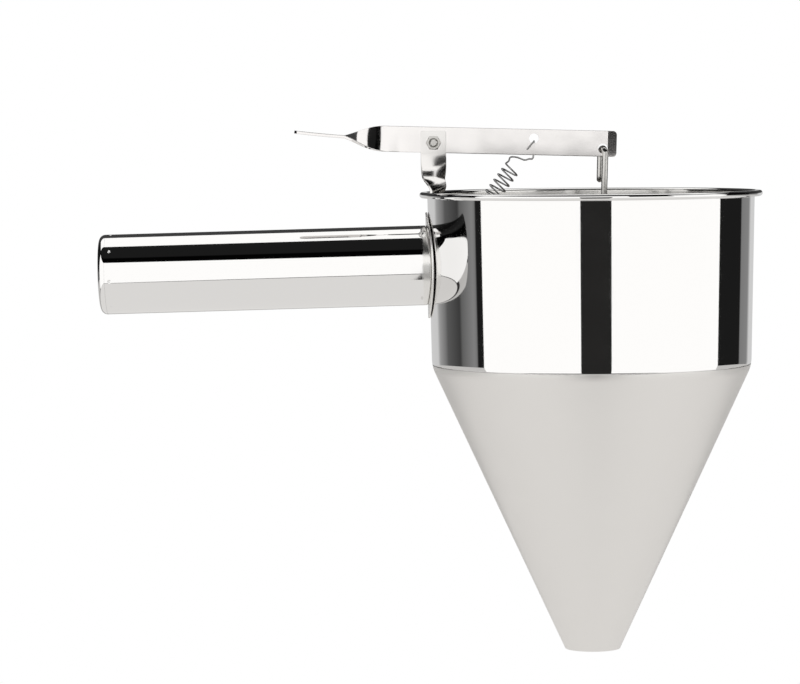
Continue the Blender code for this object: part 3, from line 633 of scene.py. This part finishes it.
def make_cup():
    """Closed outline turned about the axis: up the outer wall, round the rolled rim, down inside."""
    centre = corner_centre()
    seam = seam_angle()
    outer = arc(centre, CORNER_RADIUS, -seam + SEAM_GROOVE_TURN, -CUP_DRAFT, 14)
    fold = [cup_wall(-RIM_HEIGHT), -RIM_HEIGHT - RIM_FOLD]
    rim_radius = RIM_HEIGHT / 2
    rim_end = RIM_RADIUS - rim_radius
    under = [[cup_wall(-RIM_HEIGHT) + RIM_FOLD, -RIM_HEIGHT], [rim_end, -RIM_HEIGHT]]
    roll = arc((rim_end, -rim_radius), rim_radius, -np.pi / 2, np.pi / 2, 14)
    wall_in = inner_cup_wall(-rim_radius)
    top = arc((wall_in + rim_radius, -rim_radius), rim_radius, np.pi / 2, np.pi, 8)
    inner = arc(centre, CORNER_RADIUS - SHEET, -CUP_DRAFT, -seam, 14)
    up = np.linspace(centre[1], -RIM_HEIGHT - 2 * RIM_FOLD, 9)
    down = np.concatenate([[-rim_radius - FLAT_HOLD], np.linspace(-RIM_HEIGHT, centre[1], 9)])
    outside = np.vstack([seam_groove(), outer, np.stack([cup_wall(up), up], 1)[1:]])
    rim = np.vstack([[fold], under, roll[1:], top])
    inside = np.vstack([np.stack([inner_cup_wall(down), down], 1), inner[1:]])
    profile = np.vstack([outside, rim, inside])
    return funnel_piece("funnel_cup", profile, CUP_STEEL, "polished_steel")


def make_cone():
    """Closed outline turned about the axis: down the outer side, across the cut mouth, up inside.
    All of it but the mouth lies a hair lower, clear of the cup's edge."""
    centre = corner_centre()
    seam = seam_angle()
    outer = arc(centre, CORNER_RADIUS, -seam - SEAM_GROOVE_TURN, -CONE_HALF_ANGLE, 6)
    inner = arc(centre, CORNER_RADIUS - SHEET, -CONE_HALF_ANGLE, -seam, 6)
    share = np.linspace(0, 1, 12)[:, None]
    mouth_out = np.array([OUTLET_RADIUS, -FUNNEL_HEIGHT])
    mouth_in = np.array([inner_cone(-FUNNEL_HEIGHT), -FUNNEL_HEIGHT])
    down = outer[-1] + (mouth_out - outer[-1]) * share
    up = mouth_in + (inner[0] - mouth_in) * share
    profile = np.vstack([seam_groove(), outer, down[1:], up, inner[1:]])
    profile[:, 1] = np.maximum(profile[:, 1] - SEAM_GAP, -FUNNEL_HEIGHT)
    return funnel_piece("funnel_cone", profile, SATIN, "satin_steel")


# Handle


def dimple_field(distance_along, angle, count, phase):
    """Depth of a ring of round dents: a smooth bowl round each of count even angles."""
    pitch = 2 * np.pi / count
    off = (angle - phase + pitch / 2) % pitch - pitch / 2
    across = np.hypot(distance_along, off * HANDLE_RADIUS) / DIMPLE_RADIUS
    return DIMPLE_DEPTH * smooth_share(1 - across)


def root_dents(past_seam, angle):
    """Depth of the root's crimp: a few long dents across the seam, each a smooth bowl over an
    ellipse."""
    off = angle[..., None] - ROOT_DENT_ANGLES
    off = (off + np.pi) % (2 * np.pi) - np.pi
    along = (past_seam - ROOT_DENT_PLACE) / ROOT_DENT_REACH
    across = np.hypot(along[..., None], off * HANDLE_RADIUS / ROOT_DENT_HALF_HEIGHT)
    return ROOT_DENT_DEPTH * smooth_share(1 - across).sum(-1)


def handle_circle():
    """Angles round the handle from its front, and the unit vectors that they give."""
    angle = even_turn(HANDLE_SIDES)
    front = -Y
    down = np.cross(front, HANDLE_AXIS)
    return angle, np.cos(angle)[:, None] * front + np.sin(angle)[:, None] * down


def make_tube():
    """Tube wall: the handle's radius less the dents' depth, on a grid that is fine where the dents
    lie."""
    half = HANDLE_LENGTH / 2 - CAP_LIP
    fine = DIMPLE_ROWS_SHARE * DIMPLE_RADIUS
    end_row = half - DIMPLE_INSET
    root_end = ROOT_LIP - HANDLE_LENGTH / 2
    root = np.linspace(root_end, root_end + ROOT_DENT_ROWS, 14)
    middle = np.linspace(root[-1] + TUBE_ROW_STEP, end_row - 2 * DIMPLE_RADIUS, 12)
    rows = np.concatenate([root, middle, end_row + np.linspace(-fine, fine, 17), [half]])
    angle, circle = handle_circle()
    depth = dimple_field(rows[:, None] - end_row, angle[None], END_DIMPLES, END_DIMPLE_TURN)
    depth = depth + root_dents(root_end - rows[:, None], angle[None])
    outside = (HANDLE_RADIUS - depth)[..., None] * circle[None]
    outside = outside + rows[:, None, None] * HANDLE_AXIS
    inside = (HANDLE_RADIUS - TUBE_WALL - depth[::-1])[..., None] * circle[None]
    inside = inside + rows[::-1, None, None] * HANDLE_AXIS
    grid = np.vstack([outside, inside])
    tube_piece = surface("handle_tube", grid, POLISHED, around=True, along=True)
    belongs(tube_piece, "holder", "polished_steel", "handle_tube")


def make_end_cap():
    """Pressed cap turned about the handle's axis: a face domed by the square of the radius, a round
    edge, and a lip flush with the tube."""
    face = HANDLE_LENGTH / 2
    seat = face - CAP_LIP + CAP_SEAM
    skirt = HANDLE_RADIUS - TUBE_WALL - SEAT_GAP
    flat = HANDLE_RADIUS - CAP_ROUND
    radii = np.linspace(0, flat, 8)
    crown = np.stack([radii, face - CAP_DOME * (radii / flat) ** 2], 1)
    edge = arc((flat, face - CAP_ROUND - CAP_DOME), CAP_ROUND, np.pi / 2, 0, 10)
    rest = [[HANDLE_RADIUS, seat], [skirt, seat], [skirt, face - CAP_SKIRT], [0, face - CAP_SKIRT]]
    profile = np.vstack([crown, edge[1:], rest])
    grid = turned(profile, CAP_SIDES, np.zeros(3), HANDLE_AXIS, Y)
    cap = surface("handle_end_cap", grid, POLISHED, around=True)
    belongs(cap, "holder", "polished_steel", "handle_end_cap")


def saddle_drop(side):
    """How far the bent plate falls away towards the cup at a distance to the side."""
    return SADDLE_BEND_RADIUS - np.sqrt(SADDLE_BEND_RADIUS**2 - side**2)


def make_root_cap():
    """Root of the handle turned about its axis: its outside carries on the tube's dents, and each
    row leans by its share of the bent plate's drop, so that its face follows the plate. The weld
    beside the plate is ground."""
    face = HANDLE_LENGTH / 2 + SEAT_GAP - ROOT_GAP
    seam = HANDLE_LENGTH / 2 - ROOT_LIP
    skirt = HANDLE_RADIUS - TUBE_WALL - SEAT_GAP
    rows = np.linspace(seam + ROOT_SEAM, face - ROOT_ROUND, 26)
    straight = np.stack([np.full(len(rows), HANDLE_RADIUS), rows], 1)
    edge_centre = (HANDLE_RADIUS - ROOT_ROUND, face - ROOT_ROUND)
    edge = arc(edge_centre, ROOT_ROUND, 0, np.pi / 2, 6)[1:]
    inside = [[0, face - CAP_SKIRT], [skirt, face - CAP_SKIRT], [skirt, rows[0]]]
    profile = np.vstack([inside, straight, edge, [[0, face]]])
    angle, circle = handle_circle()
    depth = root_dents(profile[:, 1:] - seam, angle[None])
    depth[:2] = 0
    depth[profile[:, 0] < skirt] = 0
    radius = np.clip(profile[:, :1] - depth, 0, None)
    grid = radius[..., None] * circle[None] - profile[:, 1, None, None] * HANDLE_AXIS
    share = np.clip((profile[:, 1] - seam) / (face - ROOT_ROUND - seam), 0, 1)[:, None]
    grid = grid - (saddle_drop(grid[..., 1]) * share)[..., None] * HANDLE_AXIS
    cap = surface("handle_root_cap", grid, ROOT_STEEL, around=True)
    to_face = face - points_of(cap) @ -HANDLE_AXIS
    mark_unpolished_and_shade(cap, smooth_share((ROOT_GROUND_FROM - to_face) / ROOT_GROUND_OVER))
    belongs(cap, "holder", "polished_steel", "handle_root_cap")


def make_saddle():
    """Oval plate: rings of a disc, front and back, narrowed across and sunk by the drop of a circle
    of the bend's radius."""
    near = HANDLE_LENGTH / 2 + SEAT_GAP
    half = SADDLE_SHEET / 2
    radii = np.linspace(0, SADDLE_HALF_HEIGHT - half, 10)
    edge = arc((SADDLE_HALF_HEIGHT - half, 0), half, -np.pi / 2, np.pi / 2, 8)
    front = np.stack([radii, np.full(len(radii), -half)], 1)
    back = np.stack([radii[::-1], np.full(len(radii), half)], 1)
    profile = np.vstack([front, edge[1:-1], back])
    away = -HANDLE_AXIS
    grid = turned(profile, CAP_SIDES, away * (near + half), away, Y)
    grid[..., 1] *= SADDLE_HALF_WIDTH / SADDLE_HALF_HEIGHT
    grid = grid + saddle_drop(grid[..., 1:2]) * away
    plate = surface("saddle_plate", grid, GROUND, around=True)
    belongs(plate, "holder", "polished_steel", "saddle_plate")


# Lever


def lever_directions():
    """Unit vectors along the lever to its tip and up across it."""
    along = np.array([np.cos(LEVER_TILT), 0, -np.sin(LEVER_TILT)])
    return along, np.array([np.sin(LEVER_TILT), 0, np.cos(LEVER_TILT)])


def lever_point(along, up, depth=0.0):
    """A point of the lever, given along and across its strip, in funnel coordinates."""
    along_lever, up_lever = lever_directions()
    pivot = np.array([-PIVOT_REACH, 0, PIVOT_HEIGHT])
    along, up, depth = (np.asarray(value)[..., None] for value in (along, up, depth))
    return pivot + along_lever * along + up_lever * up + Y * depth


def spring_hole():
    """Middle of the spring's hole in the lever, in funnel coordinates."""
    return lever_point(SPRING_HOLE_REACH, SPRING_HOLE_RISE, LEVER_MIDDLE)


def make_lever():
    """Upright strip from its bent tip to the thumb pad. Past the twist's start its width turns a
    quarter round its own line, and the pad rises as the square of the distance."""
    pad_end = TWIST_START + TWIST_LENGTH + PAD_LENGTH
    bend_at = LEVER_TIP - LEVER_TIP_BENT
    reach = LEVER_TIP_BEND_REACH
    places = np.concatenate(
        [
            LEVER_TIP - corner_distances(LEVER_TIP_CORNER),
            np.linspace(bend_at + reach, bend_at - reach, 5),
            np.linspace(bend_at - 2 * reach, -TWIST_START, 20),
            np.linspace(-TWIST_START, PAD_CORNER - pad_end, 70)[1:],
            (corner_distances(PAD_CORNER) - pad_end)[-2::-1],
        ]
    )
    share = np.clip((-places - TWIST_START) / TWIST_LENGTH, 0, 1)
    turn = share * EVEN_TWIST_SHARE + smooth_share(share) * (1 - EVEN_TWIST_SHARE)
    angle = np.pi / 2 * turn[:, None]
    past = np.clip(-places - TWIST_START, 0, None) / (pad_end - TWIST_START)
    slope = np.arctan(2 * PAD_RISE * past / (pad_end - TWIST_START))[:, None]
    along_lever, up_lever = lever_directions()
    up = np.sin(slope) * along_lever + np.cos(slope) * up_lever
    across = up * np.cos(angle) + Y * np.sin(angle)
    face = up * np.sin(angle) - Y * np.cos(angle)
    back = np.clip(places - bend_at, 0, None) * np.tan(LEVER_TIP_ANGLE)
    half = LEVER_HEIGHT / 2 - corner_cut(LEVER_TIP - places, LEVER_TIP_CORNER)
    half = half - corner_cut(places + pad_end, PAD_CORNER)
    middle = lever_point(places, LEVER_CENTRE_RISE + PAD_RISE * past**2, LEVER_MIDDLE + back)
    grid = strip(FUNNEL + middle, across, face, half, LEVER_SHEET)
    lever = surface("lever", grid, STRIP, around=True)
    length = LEVER_SHEET + OVERRUN
    eye = lever_point(EYE_REACH, -EYE_DROP, LEVER_MIDDLE)
    bores = [
        (FUNNEL + lever_point(0, 0, LEVER_MIDDLE), Y, PIVOT_HOLE_RADIUS, length),
        (FUNNEL + spring_hole(), Y, SPRING_HOLE_RADIUS, length),
        (FUNNEL + eye, Y, EYE_HOLE_RADIUS, length),
    ]
    belongs(bored(lever, bores), "thumb_lever", "strip_steel", "lever")


# Bracket, bolt and nut


def tab_hole():
    """Middle of the spring's hole in the bracket's tab, in funnel coordinates."""
    reach = inner_cup_wall(-TAB_HOLE_DEPTH) - TAB_HOLE_INSET
    return np.array([-reach, BRACKET_MIDDLE, -TAB_HOLE_DEPTH])


def spring_directions():
    """Unit vectors up the spring, to its right and to its front."""
    along = unit((spring_hole() - tab_hole()) * (1 - Y))
    return along, np.array([along[2], 0, -along[0]]), -Y


def bracket_middle(height, angle):
    """X of the twisting strip's middle: its leading edge stays just inside the cup wall."""
    half = BRACKET_WIDTH / 2
    radius = inner_cup_wall(np.minimum(height, 0))
    edge = half * np.sin(angle) + abs(BRACKET_MIDDLE)
    wall = np.sqrt(radius**2 - edge**2) - SEAT_GAP
    leaning = half * np.cos(angle) + BRACKET_SHEET / 2 * np.sin(angle) - wall
    share = smooth_share(1 - height / BRACKET_SHIFT_TOP)
    return leaning * share - PIVOT_REACH * (1 - share)


def tab_corner():
    """Where the strip's line down the wall meets the tab's line, and the direction down the wall."""
    low = tab_hole()
    right = spring_directions()[1]
    top = -BRACKET_TWIST_LENGTH
    wall = bracket_middle(top, np.pi / 2)
    slope = (bracket_middle(top * 2, np.pi / 2) - wall) / top
    reach = (low[0] - wall - (low[2] - top) * slope) / (right[0] - right[2] * slope)
    return low - right * reach, unit(np.array([-slope, 0, -1]))


def make_bracket():
    """Flat plate at the pivot, a quarter twist as a smooth share of the height, a run down the wall,
    and a tab bent round an arc until it lies square to the spring."""
    half = BRACKET_WIDTH / 2
    height = np.concatenate(
        [
            BRACKET_TOP - corner_distances(BRACKET_CORNER),
            BRACKET_TWIST_TOP - BRACKET_TWIST_LENGTH * np.linspace(0, 1, 60),
        ]
    )
    angle = np.pi / 2 * smooth_share((BRACKET_TWIST_TOP - height) / BRACKET_TWIST_LENGTH)
    across = np.cos(angle)[:, None] * X + np.sin(angle)[:, None] * Y
    face = np.sin(angle)[:, None] * X - np.cos(angle)[:, None] * Y
    level = np.full(len(height), BRACKET_MIDDLE)
    middle = np.stack([bracket_middle(height, angle), level, height], 1)
    width = half - corner_cut(BRACKET_TOP - height, BRACKET_CORNER)
    corner, down = tab_corner()
    low = tab_hole()
    along, right = spring_directions()[:2]
    bend = np.arccos(down @ right)
    tangent = TAB_BEND_RADIUS * np.tan(bend / 2)
    inward = np.array([-down[2], 0, down[0]])
    centre = corner - down * tangent + inward * TAB_BEND_RADIUS
    turn = np.linspace(0, bend, TAB_BEND_STEPS)[:, None]
    bent_face = inward * np.cos(turn) - down * np.sin(turn)
    from_edge = corner_distances(BRACKET_CORNER)[::-1]
    tab = low + right * (TAB_EDGE - from_edge)[:, None]
    tab_width = half - corner_cut(from_edge, BRACKET_CORNER)
    middle = np.vstack([middle, centre - bent_face * TAB_BEND_RADIUS, tab])
    across = np.vstack([across, np.repeat([Y], TAB_BEND_STEPS + len(tab), axis=0)])
    face = np.vstack([face, bent_face, np.repeat(bent_face[-1:], len(tab), axis=0)])
    width = np.concatenate([width, np.full(TAB_BEND_STEPS, half), tab_width])
    grid = strip(FUNNEL + middle, across, face, width, BRACKET_SHEET)
    bracket = surface("pivot_bracket", grid, SATIN_BRACKET, around=True)
    length = BRACKET_SHEET + OVERRUN
    bores = [
        (FUNNEL + lever_point(0, 0, BRACKET_MIDDLE), Y, PIVOT_HOLE_RADIUS, length),
        (FUNNEL + low, along, TAB_HOLE_RADIUS, length),
    ]
    belongs(bored(bracket, bores), "holder", "strip_steel", "pivot_bracket")


def make_bolt():
    """Screw turned about the pivot. Its head, behind the lever, has a flat top, a quarter ellipse of
    half its radius and half its height round the edge, and a straight side. Its front end is
    chamfered."""
    reach = BOLT_SEAT - BOLT_END
    turn = np.linspace(np.pi / 2, 0, 10)
    radius = BOLT_HEAD_RADIUS / 2 * (1 + np.cos(turn))
    crown = np.stack([radius, BOLT_HEAD_HEIGHT / 2 * (1 + np.sin(turn))], 1)
    rest = [
        [BOLT_HEAD_RADIUS, 0],
        [BOLT_RADIUS, 0],
        [BOLT_RADIUS, BOLT_CHAMFER - reach],
        [BOLT_RADIUS - BOLT_CHAMFER, -reach],
        [0, -reach],
    ]
    profile = np.vstack([[[0, BOLT_HEAD_HEIGHT]], crown, rest])
    grid = turned(profile, 64, FUNNEL + lever_point(0, 0, BOLT_SEAT), Y, X)
    bolt = surface("pivot_bolt", grid, ROD, around=True)
    belongs(bolt, "holder", "rod_steel", "pivot_bolt")


def make_nut():
    """Six-sided nut turned about the pivot: its radius is the smaller of the hexagon's edge line,
    half the flats over cos(a), and a cone that chamfers its corners. Its bore is countersunk."""
    low, high = (np.array(corner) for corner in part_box("pivot_nut"))
    size = high - low
    half_flats = min(size[0], size[2]) / 2
    turn = 0 if size[2] > size[0] else np.pi / 6
    angle = even_turn(NUT_SIDES)
    sector = (angle + turn + np.pi / 6) % (np.pi / 3) - np.pi / 6
    hexagon = half_flats / np.cos(sector)
    depth = size[1]
    near = NUT_CHAMFER_SHARES * NUT_CHAMFER
    heights = np.concatenate([near, [depth / 2], depth - near[::-1]])
    inset = np.minimum(heights, depth - heights)
    cone = half_flats * NUT_FACE_SHARE + inset * NUT_CHAMFER_SLOPE
    outside = np.minimum(hexagon[None], cone[:, None])
    wide = NUT_BORE + NUT_COUNTERSINK
    bore = np.array(
        [[wide, depth], [NUT_BORE, depth - NUT_COUNTERSINK], [NUT_BORE, NUT_COUNTERSINK], [wide, 0]]
    )
    radius = np.vstack([outside, np.repeat(bore[:, :1], NUT_SIDES, axis=1)])
    heights = np.concatenate([heights, bore[:, 1]])
    circle = np.cos(angle)[:, None] * X + np.sin(angle)[:, None] * Z
    place = FUNNEL + lever_point(0, 0)
    place[1] = high[1]
    grid = place + radius[..., None] * circle[None] - heights[:, None, None] * Y
    nut = surface("pivot_nut", grid, NUT_STEEL, around=True, along=True)
    belongs(nut, "holder", "rod_steel", "pivot_nut")


# Spring


def make_spring():
    """Extension spring as one wire: a half circle through the tab, a helix of
    (right cos a + front sin a) round its axis, and a long bent hook through the lever."""
    low = tab_hole()
    high = spring_hole()
    along, right, front = spring_directions()
    centre = low + right * LOWER_HOOK_RADIUS - along * (BRACKET_SHEET / 2 + WIRE_RADIUS)
    turn = np.linspace(0, np.pi, 24)[:, None]
    hook = centre + (right * np.cos(turn) - along * np.sin(turn)) * LOWER_HOOK_RADIUS
    tip = centre + right * LOWER_HOOK_RADIUS + along * (LOWER_HOOK_TIP - WIRE_RADIUS)
    drift = Y * (LEVER_MIDDLE - BRACKET_MIDDLE)
    start = low + along * COIL_START
    first = start + right * COIL_RADIUS
    lead = first + LEAD_IN_SHARES @ np.array([right, -front, along]) * COIL_RADIUS
    rise = (high - low) @ along - COIL_START - UPPER_HOOK_REACH
    bend = smooth_route([hook[-1], low + along * (COIL_START / 2), lead, first], 8)
    share = np.linspace(0, 1, int(COIL_TURN_STEPS * COIL_TURNS))[:, None]
    angle = 2 * np.pi * COIL_TURNS * share
    ring = (right * np.cos(angle) + front * np.sin(angle)) * COIL_RADIUS
    coil = start + along * (rise * share) + drift * share + ring
    top = start + along * rise + drift
    path = np.vstack([tip, hook, bend[1:-1], coil, upper_hook(coil[-1], top, high)])
    grid = tube(FUNNEL + path, WIRE_RADIUS, WIRE_SIDES)
    spring = surface("return_spring", grid, SPRING_WIRE, around=True)
    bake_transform(spring)
    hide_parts("return_spring")


def upper_hook(last, top, hole):
    """Route of the hook: over the coil's back, up behind the lever and out through its hole."""
    along, right, front = spring_directions()
    behind = LEVER_SHEET / 2 + UPPER_HOOK_CLEARANCE + WIRE_RADIUS
    drop = SPRING_HOLE_RADIUS - WIRE_RADIUS - UPPER_HOOK_CLEARANCE
    edge = LEVER_HEIGHT / 2 + SPRING_HOLE_RISE - LEVER_CENTRE_RISE + WIRE_RADIUS
    under = hole - Z * (edge + UPPER_HOOK_CLEARANCE * 2) - X * WIRE_RADIUS + Y * behind
    bends = top + HOOK_BEND_SHARES @ np.array([right, -front, along]) * COIL_RADIUS
    back_of_hole = hole - Z * (drop + WIRE_RADIUS) + Y * behind
    front_of_hole = hole - Z * (drop + WIRE_RADIUS / 2) - X * WIRE_RADIUS - Y * behind
    tip = front_of_hole - X * SPRING_HOLE_RADIUS * HOOK_TIP_LEFT_SHARE
    tip = tip - Z * SPRING_HOLE_RADIUS * HOOK_TIP_DOWN_SHARE
    route = [last, *bends, under, back_of_hole, hole - Z * drop, front_of_hole, tip]
    return smooth_route(route, 12)[1:]


# Valve


def valve_frame():
    """The eye's middle, the rod's length, and its own up and sideways directions: it leans so that
    its lower end, half the bend beside the eye, comes under the middle of the funnel."""
    eye = lever_point(EYE_REACH, -EYE_DROP)
    seat = OUTLET_RADIUS + PLUG_OVERLAP + PLUG_SEAT_GAP / np.cos(CONE_HALF_ANGLE)
    rise = (seat - inner_cone(-FUNNEL_HEIGHT)) / cone_slope()
    wanted = np.array([0, 0, rise - FUNNEL_HEIGHT]) - eye
    length = np.sqrt(wanted @ wanted - (ROD_BEND_SIDE / 2) ** 2)
    lean = np.arctan2(-wanted[0], -wanted[2]) + np.arctan2(ROD_BEND_SIDE / 2, length)
    up = np.array([np.sin(lean), 0, np.cos(lean)])
    return FUNNEL + eye, length, up, np.array([up[2], 0, -up[0]])


def make_rod():
    """Round rod: straight, then half a circle over the lever, then a straight tail behind it."""
    eye, length, up, side = valve_frame()
    bend = np.array([-ROD_BEND_SIDE, LEVER_BACK + LEVER_GAP + ROD_RADIUS])
    radius = np.linalg.norm(bend) / 2
    sideways = (side * bend[0] + Y * bend[1]) / np.linalg.norm(bend)
    middle = eye + Y * LEVER_MIDDLE - up * radius
    turn = np.linspace(0, np.pi, 40)[:, None]
    arch = middle + sideways * np.cos(turn) * radius + up * np.sin(turn) * radius
    tail = arch[0] - up * (ROD_TAIL - ROD_RADIUS) * np.linspace(1, 0, 8)[:-1, None]
    bottom = length - radius - SEAT_GAP - ROD_RADIUS
    shaft = arch[-1] - up * bottom * np.linspace(0, 1, 30)[1:, None]
    grid = tube(np.vstack([tail, arch, shaft]), ROD_RADIUS, ROD_SIDES)
    rod = surface("valve_rod", grid, ROD, around=True)
    belongs(rod, "valve", "rod_steel", "valve_rod")


def finish_kept_nodes():
    """Solids whose shape is right keep it and get the rod's finish."""
    for node in ("plug_lock_nut", "valve_plug"):
        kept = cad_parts[node]
        kept.data.materials.clear()
        kept.data.materials.append(ROD)


# Stage


def emissive(name, colour, strength):
    """A material that only glows."""
    material, tree = new_material(name)
    glow = add(tree, "ShaderNodeEmission", {"Color": (*colour, 1), "Strength": strength})
    feed(tree, tree.nodes["Material Output"].inputs["Surface"], glow.outputs["Emission"])
    return material


def staged(name, grid, material):
    """A surface of the stage, unseen by the camera and without a shadow."""
    made = surface(name, grid, material)
    made.visible_camera = False
    made.visible_shadow = False


def card(name, material, azimuths, heights, radius):
    """A curved card round the funnel: a stretch of a cylinder between two azimuths."""
    angle = np.radians(np.linspace(*azimuths, CARD_COLUMNS))
    column = np.stack([FUNNEL[0] + radius * np.sin(angle), -radius * np.cos(angle), 0 * angle], 1)
    staged(name, np.stack([column + Z * height for height in heights]), material)


def panel(name, material, low, high, height):
    """A level card overhead between two corners."""
    grid = np.array([[[x, y, height] for x in (low[0], high[0])] for y in (low[1], high[1])])
    staged(name, grid, material)


def make_stage():
    """A soft box in front, two dark flags nearer than it, a soft box overhead, floor and room."""
    white = emissive("soft_box", SOFT_BOX_COLOUR, SOFT_BOX_STRENGTH)
    black = emissive("flag", FLAG_COLOUR, FLAG_STRENGTH)
    card("soft_box_front", white, **SOFT_BOX)
    card("flag_front", black, **FRONT_FLAG)
    card("flag_tip", black, **TIP_FLAG)
    panel("soft_box_top", white, **TOP_BOX)
    make_floor()
    make_world()


def make_floor():
    """Pale disc: near white to the camera with the object's shadow kept, and pale in reflections
    with one dark ring."""
    material, tree = new_material("floor")
    path = add(tree, "ShaderNodeLightPath", {})
    place = add(tree, "ShaderNodeTexCoord", {}).outputs["Object"]
    radius = add(tree, "ShaderNodeVectorMath", {0: place}, operation="LENGTH").outputs["Value"]
    near = ramp(tree, radius, RING_INNER_EDGE, (FLOOR_NEAR, FLOOR_RING))
    far = ramp(tree, radius, RING_OUTER_EDGE, (0.0, FLOOR_FAR - FLOOR_RING))
    glow = add(tree, "ShaderNodeMath", {0: near, 1: far}, operation="ADD").outputs[0]
    white = ramp(tree, radius, SHADOW_EDGE, SHADOW_WHITE_SHARES)
    pale = add(tree, "ShaderNodeBsdfDiffuse", {"Color": FLOOR_COLOUR}).outputs[0]
    lit = add(tree, "ShaderNodeEmission", {"Color": (1, 1, 1, 1), "Strength": 1.0}).outputs[0]
    seen = add(tree, "ShaderNodeMixShader", {0: white, 1: pale, 2: lit}).outputs[0]
    mirrored = {"Color": FLOOR_MIRRORED_COLOUR, "Strength": glow}
    mirrored = add(tree, "ShaderNodeEmission", mirrored).outputs[0]
    other = {0: path.outputs["Is Glossy Ray"], 1: pale, 2: mirrored}
    other = add(tree, "ShaderNodeMixShader", other).outputs[0]
    both = {0: path.outputs["Is Camera Ray"], 1: other, 2: seen}
    both = add(tree, "ShaderNodeMixShader", both).outputs[0]
    feed(tree, tree.nodes["Material Output"].inputs["Surface"], both)
    turn = even_turn(FLOOR_SIDES)
    circle = np.stack([np.cos(turn), np.sin(turn), 0 * turn], 1)
    grid = np.array([0, FLOOR_INNER_RADIUS, FLOOR_RADIUS])[:, None, None] * circle[None]
    floor = surface("floor", grid, material, around=True)
    floor.location = (FUNNEL[0], 0, FLOOR_HEIGHT)


def make_world():
    """White to the camera. To everything else a room whose greys go by azimuth, dark in front with a
    paler backdrop behind, and darker in a band from just over the horizon to half way up."""
    world = bpy.data.worlds.new("studio")
    bpy.context.scene.world = world
    world.use_nodes = True
    tree = world.node_tree
    direction = add(tree, "ShaderNodeTexCoord", {}).outputs["Generated"]
    split = add(tree, "ShaderNodeSeparateXYZ", {0: direction}).outputs
    towards = {0: split["Y"], 1: -1}
    towards = add(tree, "ShaderNodeMath", towards, operation="MULTIPLY").outputs[0]
    azimuth = {0: split["X"], 1: towards}
    azimuth = add(tree, "ShaderNodeMath", azimuth, operation="ARCTAN2").outputs[0]
    greys = add(tree, "ShaderNodeValToRGB", {0: ramp(tree, azimuth, (-np.pi, np.pi), (0, 1))})
    stops = greys.color_ramp.elements
    while len(stops) < len(ROOM_GREYS):
        stops.new(0.5)
    for stop, (degrees, grey) in zip(stops, ROOM_GREYS):
        stop.position = (degrees + 180) / 360
        stop.color = (grey, grey, grey, 1)
    low = ramp(tree, split["Z"], BAND_BOTTOM_EDGE, (1, BAND_SHARE))
    high = ramp(tree, split["Z"], BAND_TOP_EDGE, (0, 1 - BAND_SHARE))
    share = add(tree, "ShaderNodeMath", {0: low, 1: high}).outputs[0]
    dimmed = {0: greys.outputs["Color"], "Scale": share}
    dimmed = add(tree, "ShaderNodeVectorMath", dimmed, operation="SCALE").outputs["Vector"]
    seen = add(tree, "ShaderNodeLightPath", {}).outputs["Is Camera Ray"]
    shown = {"Factor": seen, 6: dimmed, 7: (1, 1, 1, 1)}
    shown = add(tree, "ShaderNodeMix", shown, data_type="RGBA").outputs[2]
    feed(tree, tree.nodes["Background"].inputs["Color"], shown)


# Camera


def make_camera():
    """The photograph's view: from the front and a little above the rim, dipping a few degrees."""
    data = bpy.data.cameras.new("camera")
    data.lens = LENS_MM
    data.sensor_width = SENSOR_MM
    data.clip_start = NEAR_CLIP
    camera = bpy.data.objects.new("camera", data)
    bpy.context.scene.collection.objects.link(camera)
    camera.location = FUNNEL + CAMERA_PLACE
    camera.rotation_mode = "ZYX"
    camera.rotation_euler = (np.pi / 2 - CAMERA_DIP, 0, CAMERA_TURN)
    bpy.context.scene.camera = camera


bpy.context.scene.view_settings.view_transform = "Standard"
make_cup()
make_cone()
make_tube()
make_end_cap()
make_root_cap()
make_saddle()
make_lever()
make_bracket()
make_bolt()
make_nut()
make_spring()
make_rod()
finish_kept_nodes()
make_stage()
make_camera()
